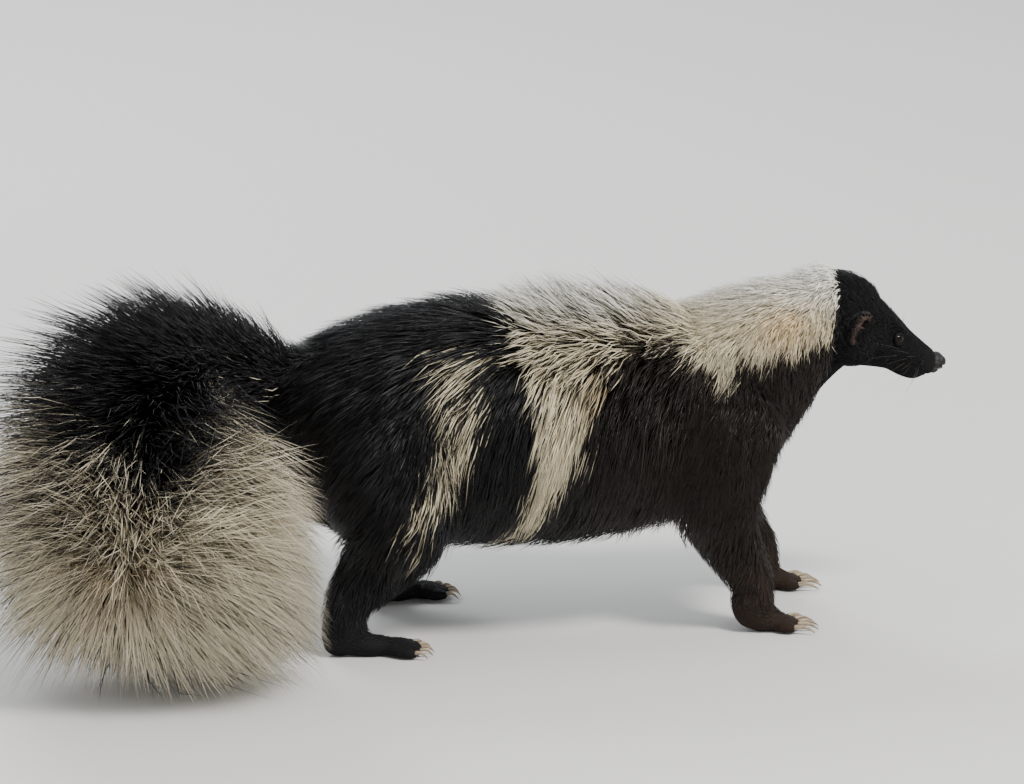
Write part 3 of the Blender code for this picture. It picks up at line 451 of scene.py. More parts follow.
def add_swept(bm, path, reference, steps, sides):
    """A limb lofted along a path of (centre, half width, above, below)."""
    rows = [(*centre, *sizes) for centre, *sizes in path]
    marks = [between(rows, k / steps) for k in range(steps + 1)]
    rings = []
    for k, row in enumerate(marks):
        before, after = marks[max(k - 1, 0)], marks[min(k + 1, steps)]
        along = (Vector(after[:3]) - Vector(before[:3])).normalized()
        across = (reference - along * along.dot(reference)).normalized()
        rings.append(ring(Vector(row[:3]), across, along.cross(across), *row[3:], sides))
    add_loft(bm, rings)


def add_ellipsoid(bm, centre, radii, axes=None, segments=24, rings_count=16):
    """A stretched sphere in the bmesh."""
    turn = (Matrix(axes).transposed() if axes else Matrix.Identity(3)).to_4x4()
    place = Matrix.Translation(centre) @ turn @ Matrix.Diagonal((*radii, 1))
    bmesh.ops.create_uvsphere(bm, u_segments=segments, v_segments=rings_count, radius=1, matrix=place)


def placed(name, data):
    """A new object in the scene that holds the mesh, light or camera."""
    obj = bpy.data.objects.new(name, data)
    bpy.context.scene.collection.objects.link(obj)
    return obj


def object_of(name, bm):
    """A new object that holds the bmesh, with its faces turned outward."""
    bmesh.ops.recalc_face_normals(bm, faces=bm.faces)
    mesh = bpy.data.meshes.new(name)
    bm.to_mesh(mesh)
    bm.free()
    return placed(name, mesh)


def applied(obj):
    """Makes the object's mesh what its modifiers show, and clears them."""
    graph = bpy.context.evaluated_depsgraph_get()
    graph.update()
    made = bpy.data.meshes.new_from_object(obj.evaluated_get(graph))
    obj.modifiers.clear()
    obj.data = made
    return obj


def fused(obj, voxel, smooth):
    """Grows the object's pieces into one smooth closed form."""
    remesh = obj.modifiers.new("Fuse", "REMESH")
    remesh.mode = "VOXEL"
    remesh.voxel_size = voxel
    soften = obj.modifiers.new("Soften", "SMOOTH")
    soften.factor = 0.5
    soften.iterations = smooth
    return applied(obj)


def carved(obj, tool):
    """Takes the tool's shape out of the object."""
    boolean = obj.modifiers.new("Carve", "BOOLEAN")
    boolean.operation = "DIFFERENCE"
    boolean.object = tool
    boolean.solver = "EXACT"
    applied(obj)
    bpy.data.objects.remove(tool)
    return obj


def finished(obj, material, nodes, move=True):
    """Puts a piece in the frame's place, gives it its material and ties it to the skunk's body."""
    if move:
        obj.data.transform(Matrix.Translation(SHIFT))
    obj.data.materials.clear()
    obj.data.materials.append(material)
    obj.data.shade_smooth()
    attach(obj, "root")
    if nodes:
        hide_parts(*nodes)
    return obj


def fetched(items, name, width, kind=float):
    """A row of values from each item of a mesh, as an array."""
    made = np.empty(len(items) * width, kind)
    items.foreach_get(name, made)
    return made.reshape(-1, width)


def vertices_of(obj, kind="co"):
    """The places of the object's vertices as an array, or their outward directions for "normal"."""
    return fetched(obj.data.vertices, kind, 3)


def colour_in(mesh, colours):
    """Writes a colour for each vertex."""
    layer = mesh.color_attributes.new(COLOUR_LAYER, "FLOAT_COLOR", "POINT")
    rgba = np.ones((len(colours), 4), np.float32)
    rgba[:, :3] = colours
    layer.data.foreach_set("color", rgba.ravel())


def leg_path(which, side, extra):
    """A leg's rows, moved to its step and grown."""
    rows = FORE_LEG if which == "fore" else HIND_LEG
    top, sole = rows[0][2], rows[-1][2]
    path = []
    for x, y, z, half_width, front, back in rows:
        lowered = min(1.0, (top - z) / (top - sole - 0.02))
        centre = Vector((x + STEP[which, side] * lowered**1.3, SIDES[side] * y, z))
        path.append((centre, half_width + extra, front + extra, back + extra))
    return path


def foot_frame(which, side):
    """A foot's ankle, its forward direction and its outer side."""
    near = min(leg_path(which, side, 0), key=lambda row: abs(row[0].z - ANKLE_HEIGHT - 0.005))
    toe_out = math.radians(8 if which == "hind" else 4) * SIDES[side]
    forward = Vector((math.cos(toe_out), math.sin(toe_out), 0))
    return Vector((near[0].x, near[0].y, 0)), forward, Vector((-forward.y, forward.x, 0)) * SIDES[side]


def toe_rows(which, side):
    """Each toe's middle, its way ahead, its length and radius, and where its claw starts."""
    ankle, forward, outer = foot_frame(which, side)
    root, spacing, length, radius, _, _ = TOES[which]
    rows = []
    for k, shorter in enumerate(TOE_SHORTER):
        spread = (k - 2) * math.radians(7)
        way = (forward * math.cos(spread) + outer * math.sin(spread)).normalized()
        start = ankle + forward * (root - shorter) + outer * (k - 2) * spacing
        middle = start + way * length * 0.45 + Vector((0, 0, 0.0034))
        rows.append((middle, way, length, radius, middle + way * length * 0.40 + Vector((0, 0, 0.0006))))
    return rows


def tail_frame(share):
    """A point of the tail's own line, the way it runs there, its flesh's radius and its hair's length."""
    row = between(TAIL, share)
    ahead = Vector(between(TAIL, min(share + 0.02, 1))[:3])
    before = Vector(between(TAIL, max(share - 0.02, 0))[:3])
    return Vector(row[:3]), (ahead - before).normalized(), row[3], row[4]


def lip_points():
    """The line between the lips, from one corner of the mouth round below the nose to the other."""
    corner, front = (0.0500, 0.0125, -0.0085), (0.0745, 0.0, -0.0062)
    marks, points = 30, []
    for k in range(-marks, marks + 1):
        t = abs(k) / marks
        u = front[0] + (corner[0] - front[0]) * t**1.6
        v = 0.0125 * math.sin(math.pi / 2 * min(1, t * 1.05)) * (1 if k > 0 else -1)
        w = front[2] + (corner[2] - front[2]) * t + 0.0012 * math.sin(math.pi * t)
        points.append(head_point(u, v, w))
    return points


def eye_axes(side):
    """Where an eye looks, then the way along its opening and across it."""
    look = (HEAD_V * SIDES[side] * 0.80 + HEAD_U * 0.50 + HEAD_W * 0.30).normalized()
    slant = HEAD_U - HEAD_W * 0.16
    along = (slant - look * look.dot(slant)).normalized()
    return look, along, look.cross(along) * SIDES[side] * -1


def marking(points):
    """How white and how golden the coat is at each point of the body."""
    x, y, z = points[:, 0], np.abs(points[:, 1]), points[:, 2]
    centre = read(TRUNK, x)
    turn = np.degrees(np.arctan2(y, z - centre))
    ripple = 3.5 * np.sin(x * 310 + z * 120) + 2.5 * np.sin(x * 730 - z * 410 + 1.3)
    nape = soft(read(NAPE_EDGE, x) + ripple - turn, 6) * soft(x - 0.060, 0.006)
    nape = nape * soft(-0.0034 - (points - np.array(NAPE_SEAM)) @ np.array(NAPE_WAY), 0.0012)
    ridge = soft(read(RIDGE_EDGE, x) + ripple - turn, 8) * soft(x + 0.034, 0.008) * soft(0.075 - x, 0.008)
    band = soft(read(BAND, z, 2) + ripple * 0.0005 - np.abs(x - read(BAND, z)), 0.004)
    wisp = soft(read(WISP_WIDTH, z) + ripple * 0.0006 - np.abs(x - read(WISP_PLACE, z)), 0.006)
    wisp = WISP_WHITE * soft(z - 0.066, 0.010) * wisp * soft(0.163 - z, 0.008)
    white = np.clip(np.maximum.reduce([nape, ridge * RIDGE_WHITE, band, wisp]), 0, 1)
    spot = np.exp(-(((x - 0.123) / 0.018) ** 2 + ((z - 0.171) / 0.010) ** 2))
    stain = np.exp(-(((x - 0.012) / 0.012) ** 2 + ((z - 0.142) / 0.012) ** 2))
    return white, np.clip(spot * 0.62 + stain * 0.6, 0, 1)


def head_place(points):
    """The points in the head's own frame."""
    away = points - np.array(HEAD_ORIGIN)
    return away @ np.array(HEAD_U), away @ np.array(HEAD_V), away @ np.array(HEAD_W)


def in_head(points):
    """1 in front of the seam behind the skull, 0 behind it and on the feet."""
    return soft((points - np.array(NAPE_SEAM)) @ np.array(NAPE_WAY), 0.002) * (points[:, 2] > 0.100)


def ear_inside(points):
    """1 on the head's skin in front of an ear's cup, inside its rim."""
    made = np.zeros(len(points))
    for side in SIDES:
        place, (face, wide, tall) = ear_frame(side)
        away = points - np.array(place) - np.array(tall) * 0.001
        a, b, c = (away @ np.array(axis) for axis in (wide, tall, face))
        depth, half_width, half_height = EAR_SIZE
        far = np.sqrt((a / half_width) ** 2 + (b / half_height) ** 2 + ((c - 0.0015) / depth) ** 2)
        made = np.maximum(made, soft(0.90 - far, 0.10) * soft(0.0030 - c, 0.0010))
    return made


def blaze(points):
    """How white the thin stripe down the middle of the face is."""
    u, v, w = head_place(points)
    return soft(0.0017 - np.abs(v), 0.0008) * soft(u - 0.016, 0.004) * soft(0.050 - u, 0.006) * (w > 0)


def body_colours(points, white, golden):
    """The coat's colour where it is that white and that golden, with a brown sheen painted on the black of
    the shoulders.
    """
    # Painted sheen: the black turns brown from the middle of the trunk up to the neck, where the sun falls on
    # the shoulders.
    brown = soft(points[:, 0] - 0.01, 0.05)[:, None] * (points[:, 0] < 0.15)[:, None]
    light = blend(CREAM, WHITE, soft(points[:, 2] - 0.180, 0.012)[:, None])
    light = blend(light, GOLD, golden[:, None])
    return blend(blend(BLACK, SHEEN_BROWN_BLACK, brown), light, white[:, None])


def surface_colours(points):
    """The skin's markings and painted shoulder sheen, which are those of the coat over it."""
    white, golden = marking(points)
    white = blend(white, blaze(points), in_head(points))
    pale = soft(-0.236 - points[:, 0], 0.012) * soft(0.130 - points[:, 2], 0.012)
    white = blend(white, 0.06 + 0.60 * pale, soft(-0.165 - points[:, 0], 0.006))
    low = soft(0.050 - points[:, 2], 0.006)
    coat = body_colours(points, white * (1 - low * (1 - pale)) * 0.92, golden)
    return blend(coat, EAR_SKIN, ear_inside(points)[:, None])


def group_tree(name, inputs, outputs):
    """A new shader node group with named inputs and outputs."""
    tree = bpy.data.node_groups.new(name, "ShaderNodeTree")
    for label, kind, value in inputs:
        socket = tree.interface.new_socket(label, in_out="INPUT", socket_type=kind)
        socket.default_value = value
    for label, kind in outputs:
        tree.interface.new_socket(label, in_out="OUTPUT", socket_type=kind)
    return tree, tree.nodes.new("NodeGroupInput"), tree.nodes.new("NodeGroupOutput")


def math_node(tree, operation, first, second):
    """A Math node whose inputs are numbers or sockets."""
    node = tree.nodes.new("ShaderNodeMath")
    node.operation = operation
    for socket, value in zip(node.inputs, (first, second)):
        if isinstance(value, (int, float)):
            socket.default_value = value
        else:
            tree.links.new(value, socket)
    return node.outputs[0]


def noise(tree, scale, detail, vector):
    """A noise of that scale over the coordinate."""
    node = tree.nodes.new("ShaderNodeTexNoise")
    node.inputs["Scale"].default_value = scale
    node.inputs["Detail"].default_value = detail
    tree.links.new(vector, node.inputs["Vector"])
    return node.outputs["Fac"]


def ramp(tree, factor, dark, light, places=(0.0, 1.0)):
    """A colour between dark and light by the factor."""
    node = tree.nodes.new("ShaderNodeValToRGB")
    for element, place, colour in zip(node.color_ramp.elements, places, (dark, light)):
        element.position = place
        element.color = (*colour, 1)
    tree.links.new(factor, node.inputs["Fac"])
    return node.outputs["Color"]


def scaled(tree, colour, gain):
    """A colour times a number."""
    node = tree.nodes.new("ShaderNodeVectorMath")
    node.operation = "SCALE"
    tree.links.new(colour, node.inputs[0])
    tree.links.new(gain, node.inputs["Scale"])
    return node.outputs[0]


def object_place(tree, stretch=None):
    """The object's own coordinate, stretched where that is asked for."""
    place = tree.nodes.new("ShaderNodeTexCoord").outputs["Object"]
    if stretch is None:
        return place
    node = tree.nodes.new("ShaderNodeMapping")
    node.inputs["Scale"].default_value = stretch
    tree.links.new(place, node.inputs["Vector"])
    return node.outputs["Vector"]


def attribute(tree, name, kind):
    """A colour or vector that the mesh carries."""
    node = tree.nodes.new("ShaderNodeAttribute")
    node.attribute_name = name
    return node.outputs[kind]


def hair_grain():
    """Uneven tone, gloss and fine relief, as of many hairs lying together."""
    found = bpy.data.node_groups.get("hair grain")
    if found:
        return found
    tree, inputs, outputs = group_tree(
        "hair grain",
        (("Colour", "NodeSocketColor", (1, 1, 1, 1)), ("Place", "NodeSocketVector", (0, 0, 0)),
         ("Contrast", "NodeSocketFloat", 0.5), ("Roughness", "NodeSocketFloat", 0.45)),
        (("Colour", "NodeSocketColor"), ("Roughness", "NodeSocketFloat"), ("Height", "NodeSocketFloat")),
    )
    fine = noise(tree, 1.0, 3.0, inputs.outputs["Place"])
    broad = noise(tree, 38.0, 2.0, object_place(tree))
    weighted = [math_node(tree, "MULTIPLY", source, share) for source, share in ((fine, 0.6), (broad, 0.4))]
    centred = math_node(tree, "SUBTRACT", math_node(tree, "ADD", *weighted), 0.5)
    gain = math_node(tree, "ADD", math_node(tree, "MULTIPLY", centred, inputs.outputs["Contrast"]), 1.0)
    gloss = math_node(tree, "ADD", inputs.outputs["Roughness"], math_node(tree, "MULTIPLY", centred, 0.35))
    tree.links.new(scaled(tree, inputs.outputs["Colour"], gain), outputs.inputs["Colour"])
    tree.links.new(gloss, outputs.inputs["Roughness"])
    tree.links.new(fine, outputs.inputs["Height"])
    return tree


def pebbles():
    """Small rounded bumps of bare skin, with painted shade darkening the creases between them."""
    found = bpy.data.node_groups.get("pebbles")
    if found:
        return found
    tree, inputs, outputs = group_tree(
        "pebbles",
        (("Colour", "NodeSocketColor", (1, 1, 1, 1)), ("Scale", "NodeSocketFloat", 1500.0)),
        (("Colour", "NodeSocketColor"), ("Height", "NodeSocketFloat")),
    )
    cells = tree.nodes.new("ShaderNodeTexVoronoi")
    tree.links.new(object_place(tree), cells.inputs["Vector"])
    tree.links.new(inputs.outputs["Scale"], cells.inputs["Scale"])
    far = cells.outputs["Distance"]
    # Painted shade: the colour darkens from each bump's middle out to the creases.
    gain = math_node(tree, "SUBTRACT", 1.15, math_node(tree, "MULTIPLY", far, 0.6))
    tree.links.new(scaled(tree, inputs.outputs["Colour"], gain), outputs.inputs["Colour"])
    tree.links.new(math_node(tree, "SUBTRACT", 1.0, far), outputs.inputs["Height"])
    return tree


def new_material(name, roughness=0.5, gloss=0.5):
    """A new material with its shader, at that roughness and gloss."""
    made = bpy.data.materials.new(name)
    made.use_nodes = True
    shader = made.node_tree.nodes["Principled BSDF"]
    shader.inputs["Roughness"].default_value = roughness
    shader.inputs["Specular IOR Level"].default_value = gloss
    return made, made.node_tree, shader


def add_bump(tree, shader, height, distance, strength):
    """Feeds a height to the shader's normal through a Bump node."""
    bump = tree.nodes.new("ShaderNodeBump")
    bump.inputs["Distance"].default_value = distance
    bump.inputs["Strength"].default_value = strength
    tree.links.new(height, bump.inputs["Height"])
    tree.links.new(bump.outputs["Normal"], shader.inputs["Normal"])


def furry(name, strands, contrast, roughness, gloss, relief):
    """Hair: its colour from the markings and painted sheen, its grain along each tuft or, on the skin, from
    the place.
    """
    found = bpy.data.materials.get(name)
    if found:
        return found
    made, tree, shader = new_material(name, gloss=gloss)
    grain = tree.nodes.new("ShaderNodeGroup")
    grain.node_tree = hair_grain()
    grain.inputs["Contrast"].default_value = contrast
    grain.inputs["Roughness"].default_value = roughness
    place = attribute(tree, STRAND_LAYER, "Vector") if strands else object_place(tree, SKIN_GRAIN)
    tree.links.new(place, grain.inputs["Place"])
    tree.links.new(attribute(tree, COLOUR_LAYER, "Color"), grain.inputs["Colour"])
    tree.links.new(grain.outputs["Colour"], shader.inputs["Base Color"])
    tree.links.new(grain.outputs["Roughness"], shader.inputs["Roughness"])
    add_bump(tree, shader, grain.outputs["Height"], BUMP_HEIGHT, relief)
    return made


def long_coat():
    """The material of the tufts on trunk, neck, legs, tail and ears."""
    return furry("long coat", True, 1.15, 0.42, 0.36, 0.30)


def face_coat():
    """The material of the short tufts on the head, duller than the rest."""
    return furry("face coat", True, 1.0, 0.52, 0.22, 0.20)


def short_coat():
    """The material of the skin under the tufts."""
    return furry("short coat", False, 0.9, 0.75, 0.12, 0.30)


def bare_skin(name, colour, scale, roughness, gloss, relief):
    """A damp, pebbled material for the nose pad and lids."""
    found = bpy.data.materials.get(name)
    if found:
        return found
    made, tree, shader = new_material(name, roughness, gloss)
    bumps = tree.nodes.new("ShaderNodeGroup")
    bumps.node_tree = pebbles()
    bumps.inputs["Colour"].default_value = (*colour, 1)
    bumps.inputs["Scale"].default_value = scale
    tree.links.new(bumps.outputs["Colour"], shader.inputs["Base Color"])
    add_bump(tree, shader, bumps.outputs["Height"], BUMP_HEIGHT, relief)
    return made


def eye_material():
    """A wet, glossy eye."""
    made, tree, shader = new_material("eye", 0.05, 0.14)
    tree.links.new(attribute(tree, COLOUR_LAYER, "Color"), shader.inputs["Base Color"])
    return made


def mottled(name, scale, detail, dark, light, roughness, places=(0.0, 1.0), stretch=None, relief=0.0):
    """A material that wanders between two colours, with relief where that is asked for."""
    made, tree, shader = new_material(name, roughness)
    tone = noise(tree, scale, detail, object_place(tree, stretch))
    tree.links.new(ramp(tree, tone, dark, light, places), shader.inputs["Base Color"])
    if relief:
        add_bump(tree, shader, tone, HORN_BUMP_HEIGHT, relief)
    return made


def horn_material():
    """Smooth horn, darker in streaks."""
    dark, light = (0.16, 0.115, 0.075), (0.46, 0.37, 0.25)
    return mottled("claw horn", 900.0, 4.0, dark, light, 0.32, (0.30, 0.72), HORN_GRAIN, 0.25)


def whisker_material():
    """Dark stiff hair, a little paler in places."""
    return mottled("whisker", 120.0, 2.0, (0.020, 0.016, 0.014), (0.075, 0.060, 0.050), 0.35)


def floor_material(colour):
    """A plain pale floor with the faintest unevenness."""
    return mottled("studio floor", 3.0, 2.0, [c * 0.985 for c in colour], colour, 0.85)


def skin_masses():
    """The bare body's masses, overlapping in one bmesh."""
    bm = bmesh.new()
    trunk = [(Vector((x, 0, height)), *sizes) for x, height, *sizes in TRUNK]
    add_swept(bm, trunk, HEAD_V, 60, 40)
    for which, side in LIMBS:
        add_swept(bm, leg_path(which, side, 0), HEAD_V, 30, 26)
        add_foot(bm, which, side)
    rows = [between(TAIL, TAIL_END * k / 12) for k in range(13)]
    tail = [(Vector(row[:3]), *[row[3]] * 3) for row in rows]
    add_swept(bm, tail, UP, 50, 20)
    skull = [(head_point(u, 0, w), *[size - HEAD_INSET for size in sizes]) for u, w, *sizes in HEAD]
    add_swept(bm, skull, HEAD_V, 40, 36)
    for (u, v, w), radii in HEAD_MASSES:
        for side in (-1, 1) if v else (1,):
            sizes = [radius - HEAD_INSET for radius in radii]
            add_ellipsoid(bm, head_point(u, side * v, w), sizes, HEAD_AXES)
    return bm


def add_foot(bm, which, side):
    """The sole and toes of a foot."""
    ankle, forward, outer = foot_frame(which, side)
    for (ahead, height), radii in FORE_FOOT if which == "fore" else HIND_FOOT:
        sizes = [radius - FOOT_INSET for radius in radii]
        add_ellipsoid(bm, ankle + forward * ahead + UP * height, sizes, (forward, outer, UP))
    for middle, way, length, radius, _ in toe_rows(which, side):
        axes = (way, UP.cross(way).normalized(), UP)
        add_ellipsoid(bm, middle, (length * 0.60, radius * 0.90, radius), axes, 16, 12)


def refined(obj, chosen):
    """Halves the edges of the faces whose middle the test chooses."""
    bm = bmesh.new()
    bm.from_mesh(obj.data)
    edges = {edge for face in bm.faces if chosen(face.calc_center_median()) for edge in face.edges}
    bmesh.ops.subdivide_edges(bm, edges=list(edges), cuts=1, use_grid_fill=True)
    bm.to_mesh(obj.data)
    bm.free()
    return obj


def open_eyes_and_mouth(obj, settings):
    """Hollows the sockets behind the eyes, holds the skin round them out, draws the muzzle back behind the
    nose pad and draws in the line of the lips.
    """
    points = vertices_of(obj)
    for side in SIDES:
        look, along, up = (np.array(axis) for axis in eye_axes(side))
        centre = np.array(eye_point(side))
        away = points - centre
        far = np.linalg.norm(away, axis=1)
        a, b, depth = away @ along, away @ up, away @ look
        inside = a**2 + b**2 < (EYE_RADIUS * SOCKET) ** 2
        hollow = inside & (depth > -EYE_RADIUS) & (far < EYE_RADIUS * 2.4)
        points[hollow] -= np.outer(depth[hollow] - EYE_RADIUS * 0.10, look)
        away = points - centre
        close = ~inside & (np.linalg.norm(away, axis=1) < EYE_RADIUS * EYE_RIM)
        points[close] = centre + unit(away[close]) * EYE_RADIUS * EYE_RIM
    u, _, _ = head_place(points)
    behind = np.linalg.norm(points - np.array(head_point(*NOSE_PLACE)), axis=1) < NOSE_REACH
    points -= np.outer(np.where(behind, np.maximum(u - NOSE_BED, 0), 0), HEAD_U)
    lips = rows_of(lip_points())
    normals = vertices_of(obj, "normal")
    near = np.where((points - lips.mean(0)) @ np.array(HEAD_U) > -0.03)[0]
    surface = BVHTree.FromPolygons([v.co for v in obj.data.vertices], [p.vertices for p in obj.data.polygons])
    lips = rows_of(surface.find_nearest(Vector(p))[0] for p in lips)
    for i in near:
        gap = np.min(np.linalg.norm(lips - points[i], axis=1))
        if gap < LIP_REACH:
            points[i] -= normals[i] * settings.lip_depth * (1 - gap / LIP_REACH) ** 1.5
    obj.data.vertices.foreach_set("co", points.ravel())
    obj.data.update()


def unwrapped(obj):
    """Lays the skin's own shape out flat in the bake map."""
    obj.data.uv_layers.new(name=BAKE_MAP)
    bpy.context.view_layer.objects.active = obj
    obj.select_set(True)
    bpy.ops.object.mode_set(mode="EDIT")
    bpy.ops.mesh.select_all(action="SELECT")
    bpy.ops.uv.smart_project(angle_limit=math.radians(66), island_margin=0.002)
    bpy.ops.object.mode_set(mode="OBJECT")
    obj.select_set(False)


class SKUNK_OT_skin(bpy.types.Operator):
    """Build one skin for head, neck, trunk, legs, feet and tail, inside the solids by the coat's depth"""

    bl_idname = "skunk.skin"
    bl_label = "Skin"

    def execute(self, context):
        skin = fused(object_of("skin", skin_masses()), SKIN_VOXEL, 5)
        refined(skin, lambda p: (p - NAPE_SEAM).dot(NAPE_WAY) > 0.004)
        eyes = [eye_point(side) for side in SIDES]
        refined(skin, lambda p: min((p - eye).length for eye in eyes) < 0.0085)
        open_eyes_and_mouth(skin, context.scene.skunk_head)
        points = vertices_of(skin)
        points[:, 2] = np.maximum(points[:, 2], 0.0)
        skin.data.vertices.foreach_set("co", points.ravel())
        colour_in(skin.data, surface_colours(points))
        unwrapped(skin)
        legs = [f"{part}_{which}_{side}" for part in ("leg", "foot") for which, side in LIMBS]
        tail = ["tail_root", "tail_middle", "tail_end"]
        finished(skin, short_coat(), ["head", "neck", "torso", *legs, *tail])
        return {"FINISHED"}


def ear_frame(side):
    """An ear's centre, then the way its cup faces, its width and its height."""
    place = head_point(EAR_PLACE.x, EAR_PLACE.y * SIDES[side], EAR_PLACE.z)
    tall = (HEAD_W * 0.62 + HEAD_V * SIDES[side] * 0.66 - HEAD_U * 0.42).normalized()
    face = HEAD_U * 0.72 + HEAD_V * SIDES[side] * 0.62 + HEAD_W * 0.10
    face = (face - tall * tall.dot(face)).normalized()
    return place, (face, tall.cross(face), tall)


def ear_cup(side):
    """A thin cup with a rolled rim, sunk in the head at its lower edge."""
    place, (face, wide, tall) = ear_frame(side)
    depth, half_width, half_height = EAR_SIZE
    around, steps, wall = 40, 12, 0.0011
    bm = bmesh.new()
    rings = []
    for inner in (False, True):
        for j in range(steps, 0, -1) if inner else range(1, steps + 1):
            open_angle = j / steps * math.radians(96)
            rows = []
            for k in range(around):
                angle = 2 * math.pi * k / around
                thin = wall if inner else 0.0
                out = wide * (half_width - thin) * math.cos(angle)
                out += tall * (half_height - thin) * math.sin(angle)
                back = face * -(depth - 1.4 * thin) * math.cos(open_angle)
                rows.append(place + tall * 0.001 + face * 0.0015 + out * math.sin(open_angle) + back)
            rings.append(rows)
    add_loft(bm, rings)
    return bm


def ear_colours(points, normals, side):
    """Black outside, bare brown skin in the cup and brown fuzz along its rim."""
    place, (face, _, tall) = ear_frame(side)
    away = (points - np.array(place)) @ np.array(face)
    rim = (soft(away - 0.0003, 0.0012) * (0.6 + 0.4 * soft(points @ np.array(tall), 1.0)))[:, None]
    cup = soft(normals @ np.array(face) - 0.15, 0.25)[:, None] * (1 - rim)
    return np.array(BLACK) * (1 - rim - cup) + np.array(EAR_FUZZ) * rim + np.array(EAR_SKIN) * cup


class SKUNK_OT_ears(bpy.types.Operator):
    """Build the two short round ears as thin cups"""

    bl_idname = "skunk.ears"
    bl_label = "Ears"

    def execute(self, context):
        for side in SIDES:
            ear = object_of(f"ear_cup_{side}", ear_cup(side))
            colour_in(ear.data, ear_colours(vertices_of(ear), vertices_of(ear, "normal"), side))
            unwrapped(ear)
            finished(ear, short_coat(), [f"ear_{side}"])
        return {"FINISHED"}


def eyeball(side):
    """A round eye with a slightly raised clear front."""
    look = np.array(eye_axes(side)[0])
    bm = bmesh.new()
    add_ellipsoid(bm, eye_point(side), [EYE_RADIUS] * 3, None, 48, 32)
    for vert in bm.verts:
        out = (vert.co - eye_point(side)).normalized()
        front = max(0.0, out.dot(Vector(look)) - 0.72) / 0.28
        vert.co += out * 0.00022 * math.sin(front * math.pi / 2)
    return bm


def eye_colours(points, side):
    """A black pupil in a very dark brown iris."""
    out = unit(points - np.array(eye_point(side)))
    facing = out @ np.array(eye_axes(side)[0])
    iris = (soft(0.975 - facing, 0.012) * soft(facing - 0.62, 0.05))[:, None]
    return blend((0.0012, 0.0011, 0.0011), (0.0060, 0.0030, 0.0018), iris)


def lid_shell(side, settings):
    """The lids: a thin shell over the eye with an almond-shaped opening, thicker above."""
    look, along, up = eye_axes(side)
    rings, marks = [], 48
    for k in range(marks):
        angle = 2 * math.pi * k / marks
        rise = math.sin(angle) * abs(math.sin(angle)) * settings.eye_open
        edge = along * math.cos(angle) * EYE_LENGTH + up * rise
        edge += look * math.sqrt(1 - edge.length_squared)
        outer = (along * math.cos(angle) + up * math.sin(angle)) * math.cos(LID_END)
        outer += look * math.sin(LID_END)
        thick = settings.lid * (1.25 if rise > 0 else 1.0)
        section = []
        for share, above in LID_SECTION:
            way = (edge * (1 - share) + outer * share).normalized()
            section.append(eye_point(side) + way * (EYE_RADIUS * 1.01 + thick * above))
        rings.append(section)
    bm = bmesh.new()
    add_loft(bm, rings, closed=True)
    return bm


def nose_pad():
    """The bare nose pad: two rounded halves with a groove between them, before its nostrils are cut."""
    u, _, w = NOSE_PLACE
    bm = bmesh.new()
    add_ellipsoid(bm, head_point(u - 0.0006, 0, w), NOSE_SIZE, HEAD_AXES, 32, 20)
    for side in SIDES.values():
        half = head_point(u + 0.0016, side * 0.0027, w + 0.0004)
        wing = head_point(u, side * 0.0044, w - 0.0012)
        add_ellipsoid(bm, half, (0.0034, 0.0030, 0.0040), HEAD_AXES)
        add_ellipsoid(bm, wing, (0.0030, 0.0022, 0.0026), HEAD_AXES)
    add_ellipsoid(bm, head_point(u + 0.0004, 0, w - 0.0040), (0.0034, 0.0013, 0.0034), HEAD_AXES)
    return bm


def nostril(side):
    """A comma-shaped opening that runs out to the side."""
    u, _, w = NOSE_PLACE
    bm = bmesh.new()
    for k in range(6):
        t = k / 5
        place = head_point(u + 0.0052 - 0.0030 * t, side * (0.0024 + 0.0034 * t), w - 0.0008 * t**2)
        add_ellipsoid(bm, place, (0.0032, 0.00125 - 0.0006 * t, 0.00135 - 0.0009 * t), HEAD_AXES, 16, 10)
    return bm


def whisker_bed(settings):
    """Long thin tapered whiskers on the muzzle and brows."""
    rng = np.random.default_rng(WHISKER_SEED)
    bm = bmesh.new()
    for side in SIDES.values():
        for k in range(settings.whiskers):
            row, place = k % 3, k // 3
            root = head_point(0.066 - 0.0035 * place, side * 0.0100, -0.0010 - 0.0024 * row)
            way = HEAD_V * side * 0.85 + HEAD_W * (0.15 - 0.30 * row) - HEAD_U * (0.10 + 0.25 * place)
            add_whisker(bm, root, way.normalized(), 0.020 + 0.008 * rng.random())
        for k in range(2):
            root = head_point(0.046 - 0.004 * k, side * 0.0120, 0.0105)
            add_whisker(bm, root, (HEAD_W * 0.8 + HEAD_V * side * 0.5 - HEAD_U * 0.2).normalized(), 0.014)
    return bm


def add_whisker(bm, root, way, length):
    """One whisker that bends down and back."""
    rings, marks = [], 7
    for k in range(marks):
        t = k / (marks - 1)
        centre = root + way * length * t + (HEAD_W * -0.16 - HEAD_U * 0.14) * length * t * t
        across = way.cross(Vector((0.3, 0.2, 0.93))).normalized()
        size = 0.00013 * (1 - 0.8 * t)
        rings.append(ring(centre, across, way.cross(across).normalized(), size, size, size, 4))
    add_loft(bm, rings)


